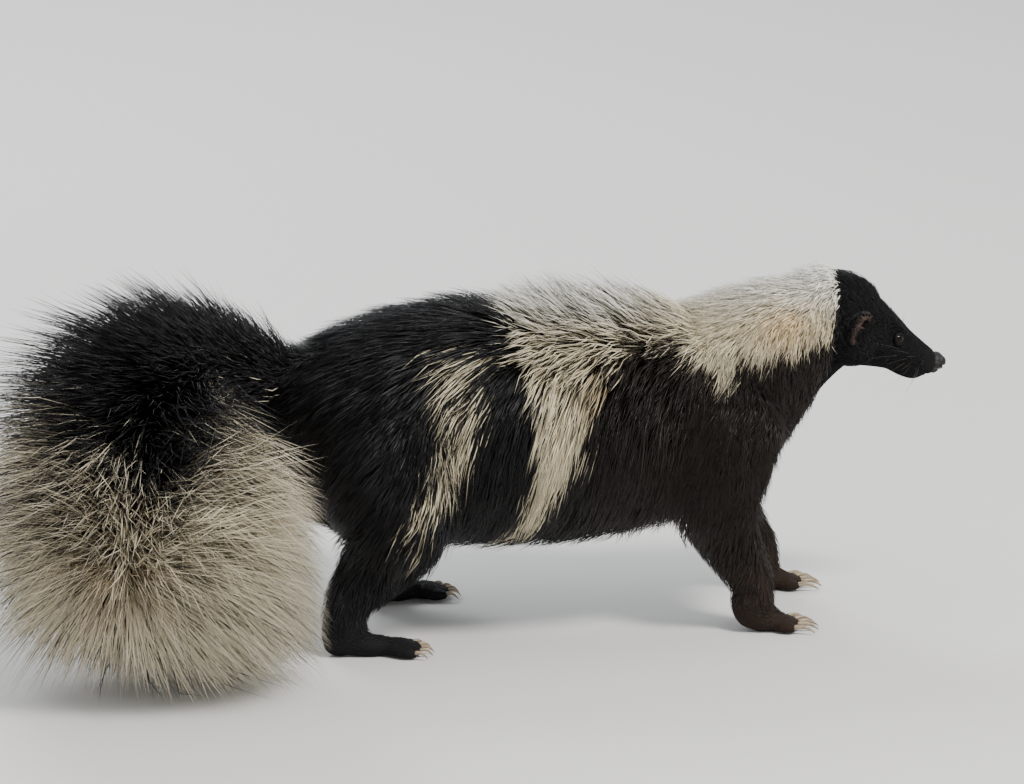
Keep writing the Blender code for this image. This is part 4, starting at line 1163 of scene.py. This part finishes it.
class SKUNK_OT_face(bpy.types.Operator):
    """Build the eyes, lids, nose pad and whiskers"""

    bl_idname = "skunk.face"
    bl_label = "Face"

    def execute(self, context):
        settings = context.scene.skunk_head
        wet = eye_material()
        lid_skin = bare_skin("lid skin", (0.0060, 0.0048, 0.0048), 2600.0, 0.55, 0.12, 0.3)
        for side in SIDES:
            eye = object_of(f"eyeball_{side}", eyeball(side))
            colour_in(eye.data, eye_colours(vertices_of(eye), side))
            finished(eye, wet, [f"eye_{side}"])
            finished(object_of(f"lids_{side}", lid_shell(side, settings)), lid_skin, [])
        nose = fused(object_of("nose_pad", nose_pad()), NOSE_VOXEL, 4)
        for side in SIDES.values():
            carved(nose, fused(object_of("nostril", nostril(side)), NOSTRIL_VOXEL, 1))
        nose_skin = bare_skin("nose skin", (0.0120, 0.0095, 0.0095), 2100.0, 0.42, 0.30, 0.40)
        finished(nose, nose_skin, ["nose"])
        whiskers = object_of("whiskers", whisker_bed(settings))
        finished(whiskers, whisker_material(), [])
        return {"FINISHED"}


def add_claw(bm, start, forward, length, radius):
    """A curved, tapered claw that ends just above the floor."""
    low = max(start.z - FLOOR_CLEARANCE - radius * 0.3, 0.001)
    marks, rings = 14, []
    across = forward.cross(UP).normalized()
    for k in range(marks):
        t = k / (marks - 1)
        centre = start + forward * length * (t - 0.10 * t * t) + UP * (0.0009 * math.sin(math.pi * t))
        centre.z -= low * t**2.2
        size = radius * (1 - 0.82 * t**1.4)
        up = (UP + forward * t * 0.9).normalized()
        rings.append(ring(centre, across, up, size * 0.8, size, size, 12))
    add_loft(bm, rings)


class SKUNK_OT_claws(bpy.types.Operator):
    """Build the twenty claws, long on the fore feet and short on the hind ones"""

    bl_idname = "skunk.claws"
    bl_label = "Claws"

    def execute(self, context):
        horn = horn_material()
        for which, side in LIMBS:
            bm = bmesh.new()
            for _, way, _, _, start in toe_rows(which, side):
                add_claw(bm, start, way, *TOES[which][4:])
            names = [f"claw_{which}_{side}_{k}" for k in range(1, 6)]
            finished(object_of(f"claws_{which}_{side}", bm), horn, names)
        return {"FINISHED"}


def surface_of(obj):
    """The triangles of a skin: corners, areas, middles, normals and places in the bake map."""
    mesh = obj.data
    mesh.calc_loop_triangles()
    faces, loops = (fetched(mesh.loop_triangles, name, 3, int) for name in ("vertices", "loops"))
    flat = fetched(mesh.uv_layers[BAKE_MAP].data, "uv", 2)
    corners = (vertices_of(obj) - np.array(SHIFT))[faces]
    cross = np.cross(corners[:, 1] - corners[:, 0], corners[:, 2] - corners[:, 0])
    area = np.linalg.norm(cross, axis=1) / 2
    return {
        "corners": corners,
        "area": area,
        "middle": corners.mean(1),
        "normal": unit(cross),
        "uv": flat[loops],
    }


def scattered(rng, skin, weight, count):
    """Roots spread over the skin by area and weight: places, outward directions, bake places."""
    share = skin["area"] * weight
    chosen = rng.choice(len(share), count, p=share / share.sum())
    mix = rng.dirichlet((1, 1, 1), count)
    places = np.einsum("nk,nkd->nd", mix, skin["corners"][chosen])
    flat = np.einsum("nk,nkd->nd", mix, skin["uv"][chosen])
    return places, skin["normal"][chosen], flat


def walked(tree, places, ways, lengths, steps):
    """Follows the skin from each root: the places along it and their outward directions."""
    path, ups = [], []
    for k in range(steps + 1):
        found = [tree.find_nearest(place) for place in places]
        places = np.array([hit[0][:] for hit in found])
        normals = np.array([hit[1][:] for hit in found])
        path.append(places)
        ups.append(normals)
        ways = unit(ways - normals * np.sum(ways * normals, 1, keepdims=True))
        places = places + ways * (lengths / steps)[:, None]
    return np.stack(path, 1), np.stack(ups, 1)


def along_tuft(paths):
    """0 at the root to 1 at the tip, for each point of a tuft."""
    return np.linspace(0, 1, paths.shape[1])[None, :, None]


def lifted(paths, ups, height, power, sunk):
    """The paths raised from the skin towards their tips, with their roots sunk in it."""
    return paths + ups * (height[:, None, None] * along_tuft(paths) ** power - sunk)


def clumped(rng, paths, roots, every, strength):
    """Draws the tips of near tufts together, into locks that each follow one of them."""
    leaders = rng.choice(len(roots), max(len(roots) // every, 1), replace=False)
    tree = points_tree(roots[leaders])
    nearest = leaders[[tree.find(root)[1] for root in roots]]
    pull = along_tuft(paths) ** 1.4 * strength * (0.55 + 0.45 * rng.random((len(roots), 1, 1)))
    follow = paths[nearest] - roots[nearest][:, None] + roots[:, None] * 0.35 + roots[nearest][:, None] * 0.65
    return paths + (follow - paths) * pull, nearest


def short_hair(rng, tree, places, ways, length, height, sunk, every, strength):
    """Short tufts that follow the skin, in locks: their paths and outward directions."""
    path, ups = walked(tree, places, unit(ways), length, 2)
    return clumped(rng, lifted(path, ups, height, 0.9, sunk), places, every, strength)[0], ups


def tuft_piece(name, paths, ups, widths, colours, flat):
    """One mesh of three-sided tapered tufts, each closed, from their root to their tip."""
    count, marks, _ = paths.shape
    rings = marks - 1
    along = unit(np.gradient(paths, axis=1)[:, :rings])
    across = unit(np.cross(along, ups[:, :rings]))
    rise = np.cross(across, along)
    t = np.linspace(0, 1, marks)[:rings]
    shape = np.interp(t, (0.0, 0.25, 0.6, 1.0), (0.65, 1.0, 0.72, 0.0))
    half = 0.5 * widths[:, None, None] * shape[None, :, None]
    base = paths[:, :rings]
    trio = np.stack([base - across * half, base + rise * half * 0.7, base + across * half], 2)
    verts = np.concatenate([trio.reshape(count, rings * 3, 3), paths[:, -1:]], 1)
    faces = [(0, 2, 1)]
    for k in range(rings - 1):
        for a, b in ((0, 1), (1, 2), (2, 0)):
            faces.append((3 * k + a, 3 * k + b, 3 * k + 3 + b))
            faces.append((3 * k + a, 3 * k + 3 + b, 3 * k + 3 + a))
    faces += [(3 * rings - 3 + a, 3 * rings - 3 + b, 3 * rings) for a, b in ((0, 1), (1, 2), (2, 0))]
    local = np.array(faces)
    size = rings * 3 + 1
    index = (local[None] + (np.arange(count) * size)[:, None, None]).reshape(-1)
    mesh = bpy.data.meshes.new(name)
    mesh.vertices.add(count * size)
    mesh.vertices.foreach_set("co", (verts + np.array(SHIFT)).astype(np.float32).ravel())
    mesh.loops.add(len(index))
    mesh.loops.foreach_set("vertex_index", index.astype(np.int32))
    mesh.polygons.add(len(index) // 3)
    mesh.polygons.foreach_set("loop_start", np.arange(0, len(index), 3, dtype=np.int32))
    mesh.update(calc_edges=True)
    share = np.append(np.repeat(t, 3), 1.0)
    tone = blend(colours[0][:, None], colours[1][:, None], share[None, :, None])
    colour_in(mesh, tone.reshape(-1, 3))
    side = np.append(np.tile((0.0, 0.5, 1.0), rings), 0.5)
    own = (np.arange(count) * 0.618034 % 1)[:, None]
    strand = np.stack(np.broadcast_arrays(side[None] * 4.0 + own * 57, share[None] * 1.6, own * 91), 2)
    layer = mesh.attributes.new(STRAND_LAYER, "FLOAT_VECTOR", "POINT")
    layer.data.foreach_set("vector", strand.astype(np.float32).ravel())
    patch = np.stack([side, share], 1) * BAKE_PATCH
    spots = np.clip(flat[:, None] + patch[None], 0, 1).reshape(-1, 2)
    mesh.uv_layers.new(name=BAKE_MAP).data.foreach_set("uv", spots[index].astype(np.float32).ravel())
    return placed(name, mesh)


def in_pieces(name, material, paths, ups, widths, colours, flat):
    """The tufts as joined meshes that each stay under the limit of triangles."""
    each = PIECE_LIMIT // (6 * (paths.shape[1] - 2) + 4)
    for k, start in enumerate(range(0, len(paths), each), 1):
        cut = slice(start, start + each)
        tones = [tone[cut] for tone in colours]
        piece = tuft_piece(f"{name}_{k}", paths[cut], ups[cut], widths[cut], tones, flat[cut])
        finished(piece, material, [], move=False)


def toned(rng, colours, spread):
    """The colours made a little darker or lighter, tuft by tuft."""
    return colours * (1 + spread * rng.standard_normal((len(colours), 1))).clip(0.45, 1.6)


def trunk_weight(middle):
    """1 on trunk and neck, 0 on head, legs and tail."""
    tail = soft(-0.166 - middle[:, 0], 0.002)
    return (1 - in_head(middle)) * (1 - tail) * (1 - leg_weight(middle))


def leg_weight(middle):
    """1 on the legs and feet below the trunk."""
    inner = np.abs(middle[:, 1]) > 0.022
    return soft(0.078 - middle[:, 2], 0.010) * inner * (middle[:, 0] > -0.165)


def trunk_coat(rng, settings, skin, tree, part):
    """Hair on the trunk, long and in locks, or on nape and neck, fine and soft; it lies back and down."""
    middle, kind, fine = skin["middle"], TRUNK_COATS[part], part == "neck"
    border = soft(middle[:, 0] - 0.068, 0.008)
    thick = read(THICKER_ABOVE, skin["normal"][:, 2]) * (border if fine else 1 - border)
    places, normals, flat = scattered(rng, skin, trunk_weight(middle) * thick, getattr(settings, part))
    x = places[:, 0]
    back, flank = (read(COAT_DEPTH, x, k) for k in (1, 2))
    top, under = (np.clip(way * normals[:, 2], 0, 1) for way in (1, -1))
    depth = flank + (back - flank) * top
    hackle = soft(top - 0.60, 0.30) * soft(x + 0.026, 0.014) * soft(0.082 - x, 0.016)
    if fine:
        length = depth * 1.25 + read(NECK_LENGTH, x)
    else:
        length = (depth * 2.2 + 0.010 - 0.006 * under) * (1 - 0.42 * hackle)
        length *= 1 + 0.25 * soft(0.15 - np.abs(normals[:, 2] + 0.25), 0.2)
    length *= rng.uniform(0.72, 1.12, len(x))
    down = read(FLANK_DOWN, x) * np.abs(normals[:, 1]) ** 1.2
    ways = np.stack([-1 + 0.42 * down, 0.10 * normals[:, 1], -down - 0.10 * under], 1)
    ways = unit(ways + kind["disorder"] * rng.standard_normal(ways.shape))
    path, ups = walked(tree, places, ways, length, kind["steps"])
    height = depth * rng.uniform(kind["least"], 1.04, len(x))
    height *= 1 + hackle * rng.uniform(0.1, 0.75, len(x))
    path = lifted(path, ups, height, 0.8, TRUNK_SUNK)
    path, leader = clumped(rng, path, places, kind["lock"], 0.30 if fine else settings.clump)
    path, _ = clumped(rng, path, places, 90, kind["sheaf"])
    path[:, 1:] += kind["stray"] * rng.standard_normal(path[:, 1:].shape) * along_tuft(path)[:, 1:]
    path[:, :, 2] = np.maximum(path[:, :, 2], FLOOR_MARGIN)
    shown = path[:, -2] if fine else path[:, 2]
    white, golden = marking(np.where(rng.random((len(x), 1)) < 0.45, shown[leader], shown))
    light = (rng.random(len(x)) < np.clip(white * 1.12, 0, 1) * (1 - 0.24 * hackle)).astype(float)
    colours = body_colours(shown, light * (0.92 + 0.08 * white), golden)
    colours = toned(rng, colours, 0.18 - 0.10 * light[:, None])
    base = colours * np.where(light[:, None] > 0.5, (0.96, 0.92, 0.84), (0.9, 0.9, 0.9))
    base *= (1 - 0.30 * hackle)[:, None]
    width = getattr(settings, f"{part}_width") * rng.uniform(0.6, 1.2, len(x))
    in_pieces(f"coat_{part}", long_coat(), path, ups, width, (base, colours), flat)


def head_coat(rng, settings, skin, tree):
    """Short hair that lies back from the nose, shortest on the muzzle."""
    middle = skin["middle"]
    eyes = rows_of(eye_point(side) for side in SIDES)
    nose = np.linalg.norm(middle - np.array(head_point(*NOSE_PLACE)), axis=1)
    weight = in_head(middle) * (nearest_gap(middle, eyes) > EYE_RADIUS * EYE_BARE) * (nose > NOSE_BARE)
    weight = weight * (nearest_gap(middle, rows_of(lip_points())) > LIP_BARE)
    weight = weight * read(HEAD_THICK, head_place(middle)[0]) * (1 - ear_inside(middle))
    places, normals, flat = scattered(rng, skin, weight, settings.head)
    u, _, _ = head_place(places)
    crest = np.clip(normals @ np.array(HEAD_W), 0, 1) ** 2 * soft(u - 0.018, 0.010) * soft(0.050 - u, 0.008)
    length = read(HEAD_LENGTH, u)
    length *= rng.uniform(0.7, 1.15, len(u)) * (1 + 0.9 * crest)
    length *= np.interp(nearest_gap(places, eyes) / EYE_RADIUS, (1.1, 2.0), (0.40, 1.0))
    depth = read(HEAD_DEPTH, u) + 0.0019 * crest
    ways = -np.array(HEAD_U) + normals * (0, 0.25, 0) - np.array(HEAD_W) * 0.12
    ways = ways + 0.10 * rng.standard_normal(ways.shape)
    path, ups = short_hair(rng, tree, places, ways, length, depth, HEAD_SUNK, 9, 0.35)
    light = (rng.random(len(u)) < blaze(places))[:, None] * 0.92
    colours = toned(rng, blend(BLACK, WHITE, light), 0.18)
    width = settings.short_width * rng.uniform(0.7, 1.2, len(u)) * read(HEAD_WIDTH, u)
    in_pieces("coat_head", face_coat(), path, ups, width, (colours * 0.9, colours), flat)


def leg_coat(rng, settings, skin, tree):
    """Hair that lies down the legs and forward over the feet, shortest on the toes."""
    places, _, flat = scattered(rng, skin, leg_weight(skin["middle"]), settings.legs)
    keep = places[:, 2] > LEG_LOWEST
    places, flat = places[keep], flat[keep]
    z = places[:, 2]
    length = read(LEG_LENGTH, z) * rng.uniform(0.7, 1.15, len(z))
    ways = blend(LEG_WAY, FOOT_WAY, soft(0.018 - z, 0.006)[:, None]) + 0.12 * rng.standard_normal((len(z), 3))
    path, ups = short_hair(rng, tree, places, ways, length, read(LEG_DEPTH, z), LEG_SUNK, 10, 0.5)
    path[:, :, 2] = np.maximum(path[:, :, 2], TOE_MARGIN)
    white, golden = marking(path[:, 1])
    light = (rng.random(len(z)) < white * soft(z - 0.060, 0.012)).astype(float)
    colours = toned(rng, body_colours(path[:, 1], light, golden), 0.18)
    width = settings.short_width * read(LEG_WIDTH, z) * rng.uniform(0.7, 1.2, len(z))
    in_pieces("coat_legs", long_coat(), path, ups, width, (colours * 0.9, colours), flat)


def tail_colours(rng, tips, share, place):
    """Black above, cream mixed with dark hairs below; golden near the root and greyer at the tip."""
    high = soft(tips[:, 2] - read(PLUME_DARK, tips[:, 0]) + 0.009 * rng.standard_normal(len(tips)), 0.016)
    left = soft(-0.285 - tips[:, 0], 0.030) * soft(tips[:, 2] - 0.090, 0.030)
    dark = np.maximum.reduce([high, soft(0.34 - share, 0.10) * 0.95, 0.15 + 0.34 * left])
    light = (rng.random(len(tips)) > dark).astype(float)[:, None]
    middle = np.exp(-((place / 0.062) ** 2))[:, None]
    pale = [blend(np.array(CREAM) * 0.88, GOLD, middle), blend(GRIZZLE, GOLD, 0.65 * middle)]
    tone = (1 + 0.15 * rng.standard_normal((len(tips), 1))).clip(0.5, 1.25)
    return [blend(np.array(BLACK) * PLUME_BLACK, colour, light) * tone for colour in pale]


def kept_inside(rng, path):
    """Shortens the plume's hairs that pass its edge beside the rump, flattens those past its front."""
    inward = path @ np.array((math.cos(math.radians(10)), -math.sin(math.radians(10)), 0))
    edge = PLUME_EDGE - 0.011 * rng.random(len(path)) ** 1.5
    share = (edge - inward[:, 0]) / np.maximum(inward[:, -1] - inward[:, 0], 1e-6)
    share = np.where(inward[:, -1] > edge, np.clip(share, 0.05, 1), 1.0)
    path = path[:, :1] + (path - path[:, :1]) * share[:, None, None]
    room = 0.016 * rng.uniform(0.35, 1.0, (len(path), 1))
    front = PLUME_FRONT - SHIFT.y + 0.016
    past = np.maximum(front - path[:, :, 1], 0)
    path[:, :, 1] = np.where(past > 0, front - room * np.tanh(past / room), path[:, :, 1])
    return path


def tail_coat(rng, settings, skin):
    """The plume: long hair that leaves the tail at a wide angle and bends along it."""
    count, steps = settings.tail, 3
    share = PLUME_START + (TAIL_END - PLUME_START) * rng.random(count) ** 0.80
    table = [tail_frame(k / 200) for k in range(201)]
    index = np.round(share * 200).astype(int)
    centre, along = (rows_of(row[k] for row in table)[index] for k in (0, 1))
    radius, hair = (column(table, k)[index] for k in (2, 3))
    across = unit(np.cross(along, (0.0, 0.0, 1.0)))
    up = np.cross(across, along)
    inner = np.arctan2(across[:, :1], up[:, :1])
    turn = rng.uniform(0, 2 * np.pi, count)[:, None]
    turn = turn - 0.40 * np.sin(turn - inner) * soft(share - 0.45, 0.10)[:, None]
    out = up * np.cos(turn) + across * np.sin(turn)
    lean = PLUME_LEAN[0] + (PLUME_LEAN[1] - PLUME_LEAN[0]) * np.minimum(1.0, share * 1.25)
    least = np.interp(share, (0.50, 0.84), (0.78, 0.02))
    lean = lean * (least + (1.12 - least) * rng.random(count) ** np.interp(share, (0.6, 0.84), (0.6, 0.9)))
    sideways = np.cross(out, along) * (0.20 * rng.standard_normal(count))[:, None]
    reach = np.interp(lean, (0.1, 0.4, 0.9), (0.50, 0.66, 1.0))
    inward = soft(out[:, 0] - 0.25, 0.35) * soft(share - 0.42, 0.12)
    upward = soft(out[:, 2] - 0.45, 0.30)
    length = (np.maximum(hair, 0.075 * (share > 0.85)) + 0.004) * rng.uniform(0.60, 1.03, count) * reach
    length *= 1 + 0.42 * inward + 0.20 * upward
    lean *= 1 + 0.12 * inward
    place = centre + out * (radius * 0.8)[:, None]
    places, ups = [], []
    for k in range(steps + 1):
        angle = (lean * (1.15 - 0.34 * k / steps))[:, None]
        places.append(place.copy())
        ups.append(out * np.cos(angle) - along * np.sin(angle))
        way = unit(along * np.cos(angle) + out * np.sin(angle) + sideways * (k / steps))
        way[:, 2] -= 0.10 * k / steps
        place = place + way * (length / steps)[:, None]
        place[:, 2] = np.maximum(place[:, 2], FLOOR_MARGIN + 0.002 * rng.random(count))
    path, ups = np.stack(places, 1), np.stack(ups, 1)
    for every, strength in ((18, settings.clump * 0.70), (150, 0.22)):
        path, _ = clumped(rng, path, path[:, 0] + out * 0.012, every, strength)
    t = along_tuft(path)
    path[:, 1:] += 0.0034 * rng.standard_normal((count, 1, 3)) * t[:, 1:]
    end = soft(share - 0.80, 0.06)[:, None, None]
    path[:, 1:] += 0.011 * end * rng.standard_normal((count, 1, 3)) * (1.0, 0.3, 1.0) * t[:, 1:] ** 1.5
    path[:, 1:] += 0.0009 * rng.standard_normal(path[:, 1:].shape)
    path = kept_inside(rng, path)
    path[:, :, 2] = np.maximum(path[:, :, 2], FLOOR_MARGIN)
    tree = points_tree(skin["middle"])
    near = np.array([tree.find(place)[1] for place in path[:, 0]])
    flat = skin["uv"][near].mean(1)
    gap = np.linalg.norm(path[:, -1] - np.array(TAIL[-3][:3]) - (0.0, -0.03, 0.0), axis=1)
    colours = tail_colours(rng, path[:, -1], share, gap)
    width = settings.tail_width * rng.uniform(0.6, 1.2, count)
    in_pieces("coat_tail", long_coat(), path, ups, width, colours, flat)


def ear_coat(rng, settings, side):
    """Short fuzz on an ear's back and rim."""
    ear = surface_of(bpy.data.objects[f"ear_cup_{side}"])
    places, normals, flat = scattered(rng, ear, np.ones(len(ear["area"])), settings.ears)
    _, (face, _, tall) = ear_frame(side)
    ways = np.array(tall)[None] - np.array(face)[None] * 0.4 + 0.25 * rng.standard_normal(places.shape)
    length = 0.0030 * rng.uniform(0.6, 1.2, len(places))
    ways = unit(unit(ways)[:, None] * 0.8 + normals[:, None] * 0.6)
    path = places[:, None] + ways * (length[:, None, None] * np.linspace(0, 1, 3)[None, :, None])
    ups = np.repeat(normals[:, None], 3, 1)
    colours = toned(rng, ear_colours(places, normals, side), 0.2)
    width = settings.short_width * rng.uniform(0.5, 0.8, len(places))
    in_pieces(f"coat_ear_{side}", long_coat(), path, ups, width, (colours, colours), flat)


class SKUNK_OT_coat(bpy.types.Operator):
    """Grow the coat: long on body and tail, short on head, ears, legs and feet"""

    bl_idname = "skunk.coat"
    bl_label = "Coat"

    def execute(self, context):
        settings = context.scene.skunk_coat
        rng = np.random.default_rng(settings.seed)
        skin = surface_of(bpy.data.objects["skin"])
        tree = tree_of(skin["corners"])
        for part in TRUNK_COATS:
            trunk_coat(rng, settings, skin, tree, part)
        head_coat(rng, settings, skin, tree)
        leg_coat(rng, settings, skin, tree)
        tail_coat(rng, settings, skin)
        for side in SIDES:
            ear_coat(rng, settings, side)
        return {"FINISHED"}


def add_area_light(name, place, aim, size, power, colour):
    """A soft square light that faces the skunk."""
    light = bpy.data.lights.new(name, "AREA")
    light.size = size
    light.energy = power
    light.color = colour
    obj = placed(name, light)
    obj.location = place
    obj.rotation_euler = (Vector(place) - aim).to_track_quat("Z", "Y").to_euler()


class SKUNK_OT_stage(bpy.types.Operator):
    """Set the pale floor, the soft studio light and the camera"""

    bl_idname = "skunk.stage"
    bl_label = "Stage"

    def execute(self, context):
        settings = context.scene.skunk_stage
        bm = bmesh.new()
        bmesh.ops.create_grid(bm, x_segments=2, y_segments=2, size=6)
        floor = object_of("studio_floor", bm)
        floor.data.materials.append(floor_material(settings.floor))
        world = bpy.data.worlds.new("studio")
        world.use_nodes = True
        world.node_tree.nodes["Background"].inputs["Color"].default_value = (0.93, 0.96, 1.0, 1)
        world.node_tree.nodes["Background"].inputs["Strength"].default_value = 0.95
        context.scene.world = world
        aim = Vector(settings.aim) + SHIFT
        add_area_light("key", (0.9, -1.3, 2.2), aim, 0.6, settings.key, (1.0, 0.97, 0.92))
        add_area_light("rim", (-0.6, 1.9, 1.6), aim, 0.9, settings.key * 0.44, (0.95, 0.98, 1.0))
        around, height = settings.azimuth, settings.elevation
        level = math.cos(height)
        back = Vector((math.sin(around) * level, -math.cos(around) * level, math.sin(height)))
        camera = bpy.data.cameras.new("camera")
        camera.sensor_width = 36
        camera.lens = camera.sensor_width * settings.distance / settings.width
        camera.clip_end = 50
        obj = placed("camera", camera)
        obj.location = aim + back * settings.distance
        obj.rotation_euler = back.to_track_quat("Z", "Y").to_euler()
        context.scene.camera = obj
        return {"FINISHED"}


class SKUNK_PT_panel(bpy.types.Panel):
    """Buttons and sizes for the skunk"""

    bl_idname = "SKUNK_PT_panel"
    bl_label = "Striped Skunk"
    bl_space_type = "VIEW_3D"
    bl_region_type = "UI"
    bl_category = "Skunk"

    def draw(self, context):
        for group in (context.scene.skunk_head, context.scene.skunk_coat, context.scene.skunk_stage):
            box = self.layout.box()
            for name in group.__annotations__:
                box.prop(group, name)
        for operator in OPERATORS:
            self.layout.operator(operator.bl_idname)


OPERATORS = (SKUNK_OT_skin, SKUNK_OT_ears, SKUNK_OT_face, SKUNK_OT_claws, SKUNK_OT_coat, SKUNK_OT_stage)
SETTINGS = {"skunk_head": SkunkHead, "skunk_coat": SkunkCoat, "skunk_stage": SkunkStage}


def register():
    """Makes the settings, buttons and panel known."""
    for kind in (*SETTINGS.values(), *OPERATORS, SKUNK_PT_panel):
        bpy.utils.register_class(kind)
    for name, kind in SETTINGS.items():
        setattr(bpy.types.Scene, name, bpy.props.PointerProperty(type=kind))


def unregister():
    """Takes them away again."""
    for name in SETTINGS:
        delattr(bpy.types.Scene, name)
    for kind in (SKUNK_PT_panel, *reversed(OPERATORS), *SETTINGS.values()):
        bpy.utils.unregister_class(kind)


def main():
    """Builds the skunk and its stage."""
    register()
    bpy.ops.skunk.skin()
    bpy.ops.skunk.ears()
    bpy.ops.skunk.face()
    bpy.ops.skunk.claws()
    bpy.ops.skunk.coat()
    bpy.ops.skunk.stage()


if __name__ == "__main__":
    main()
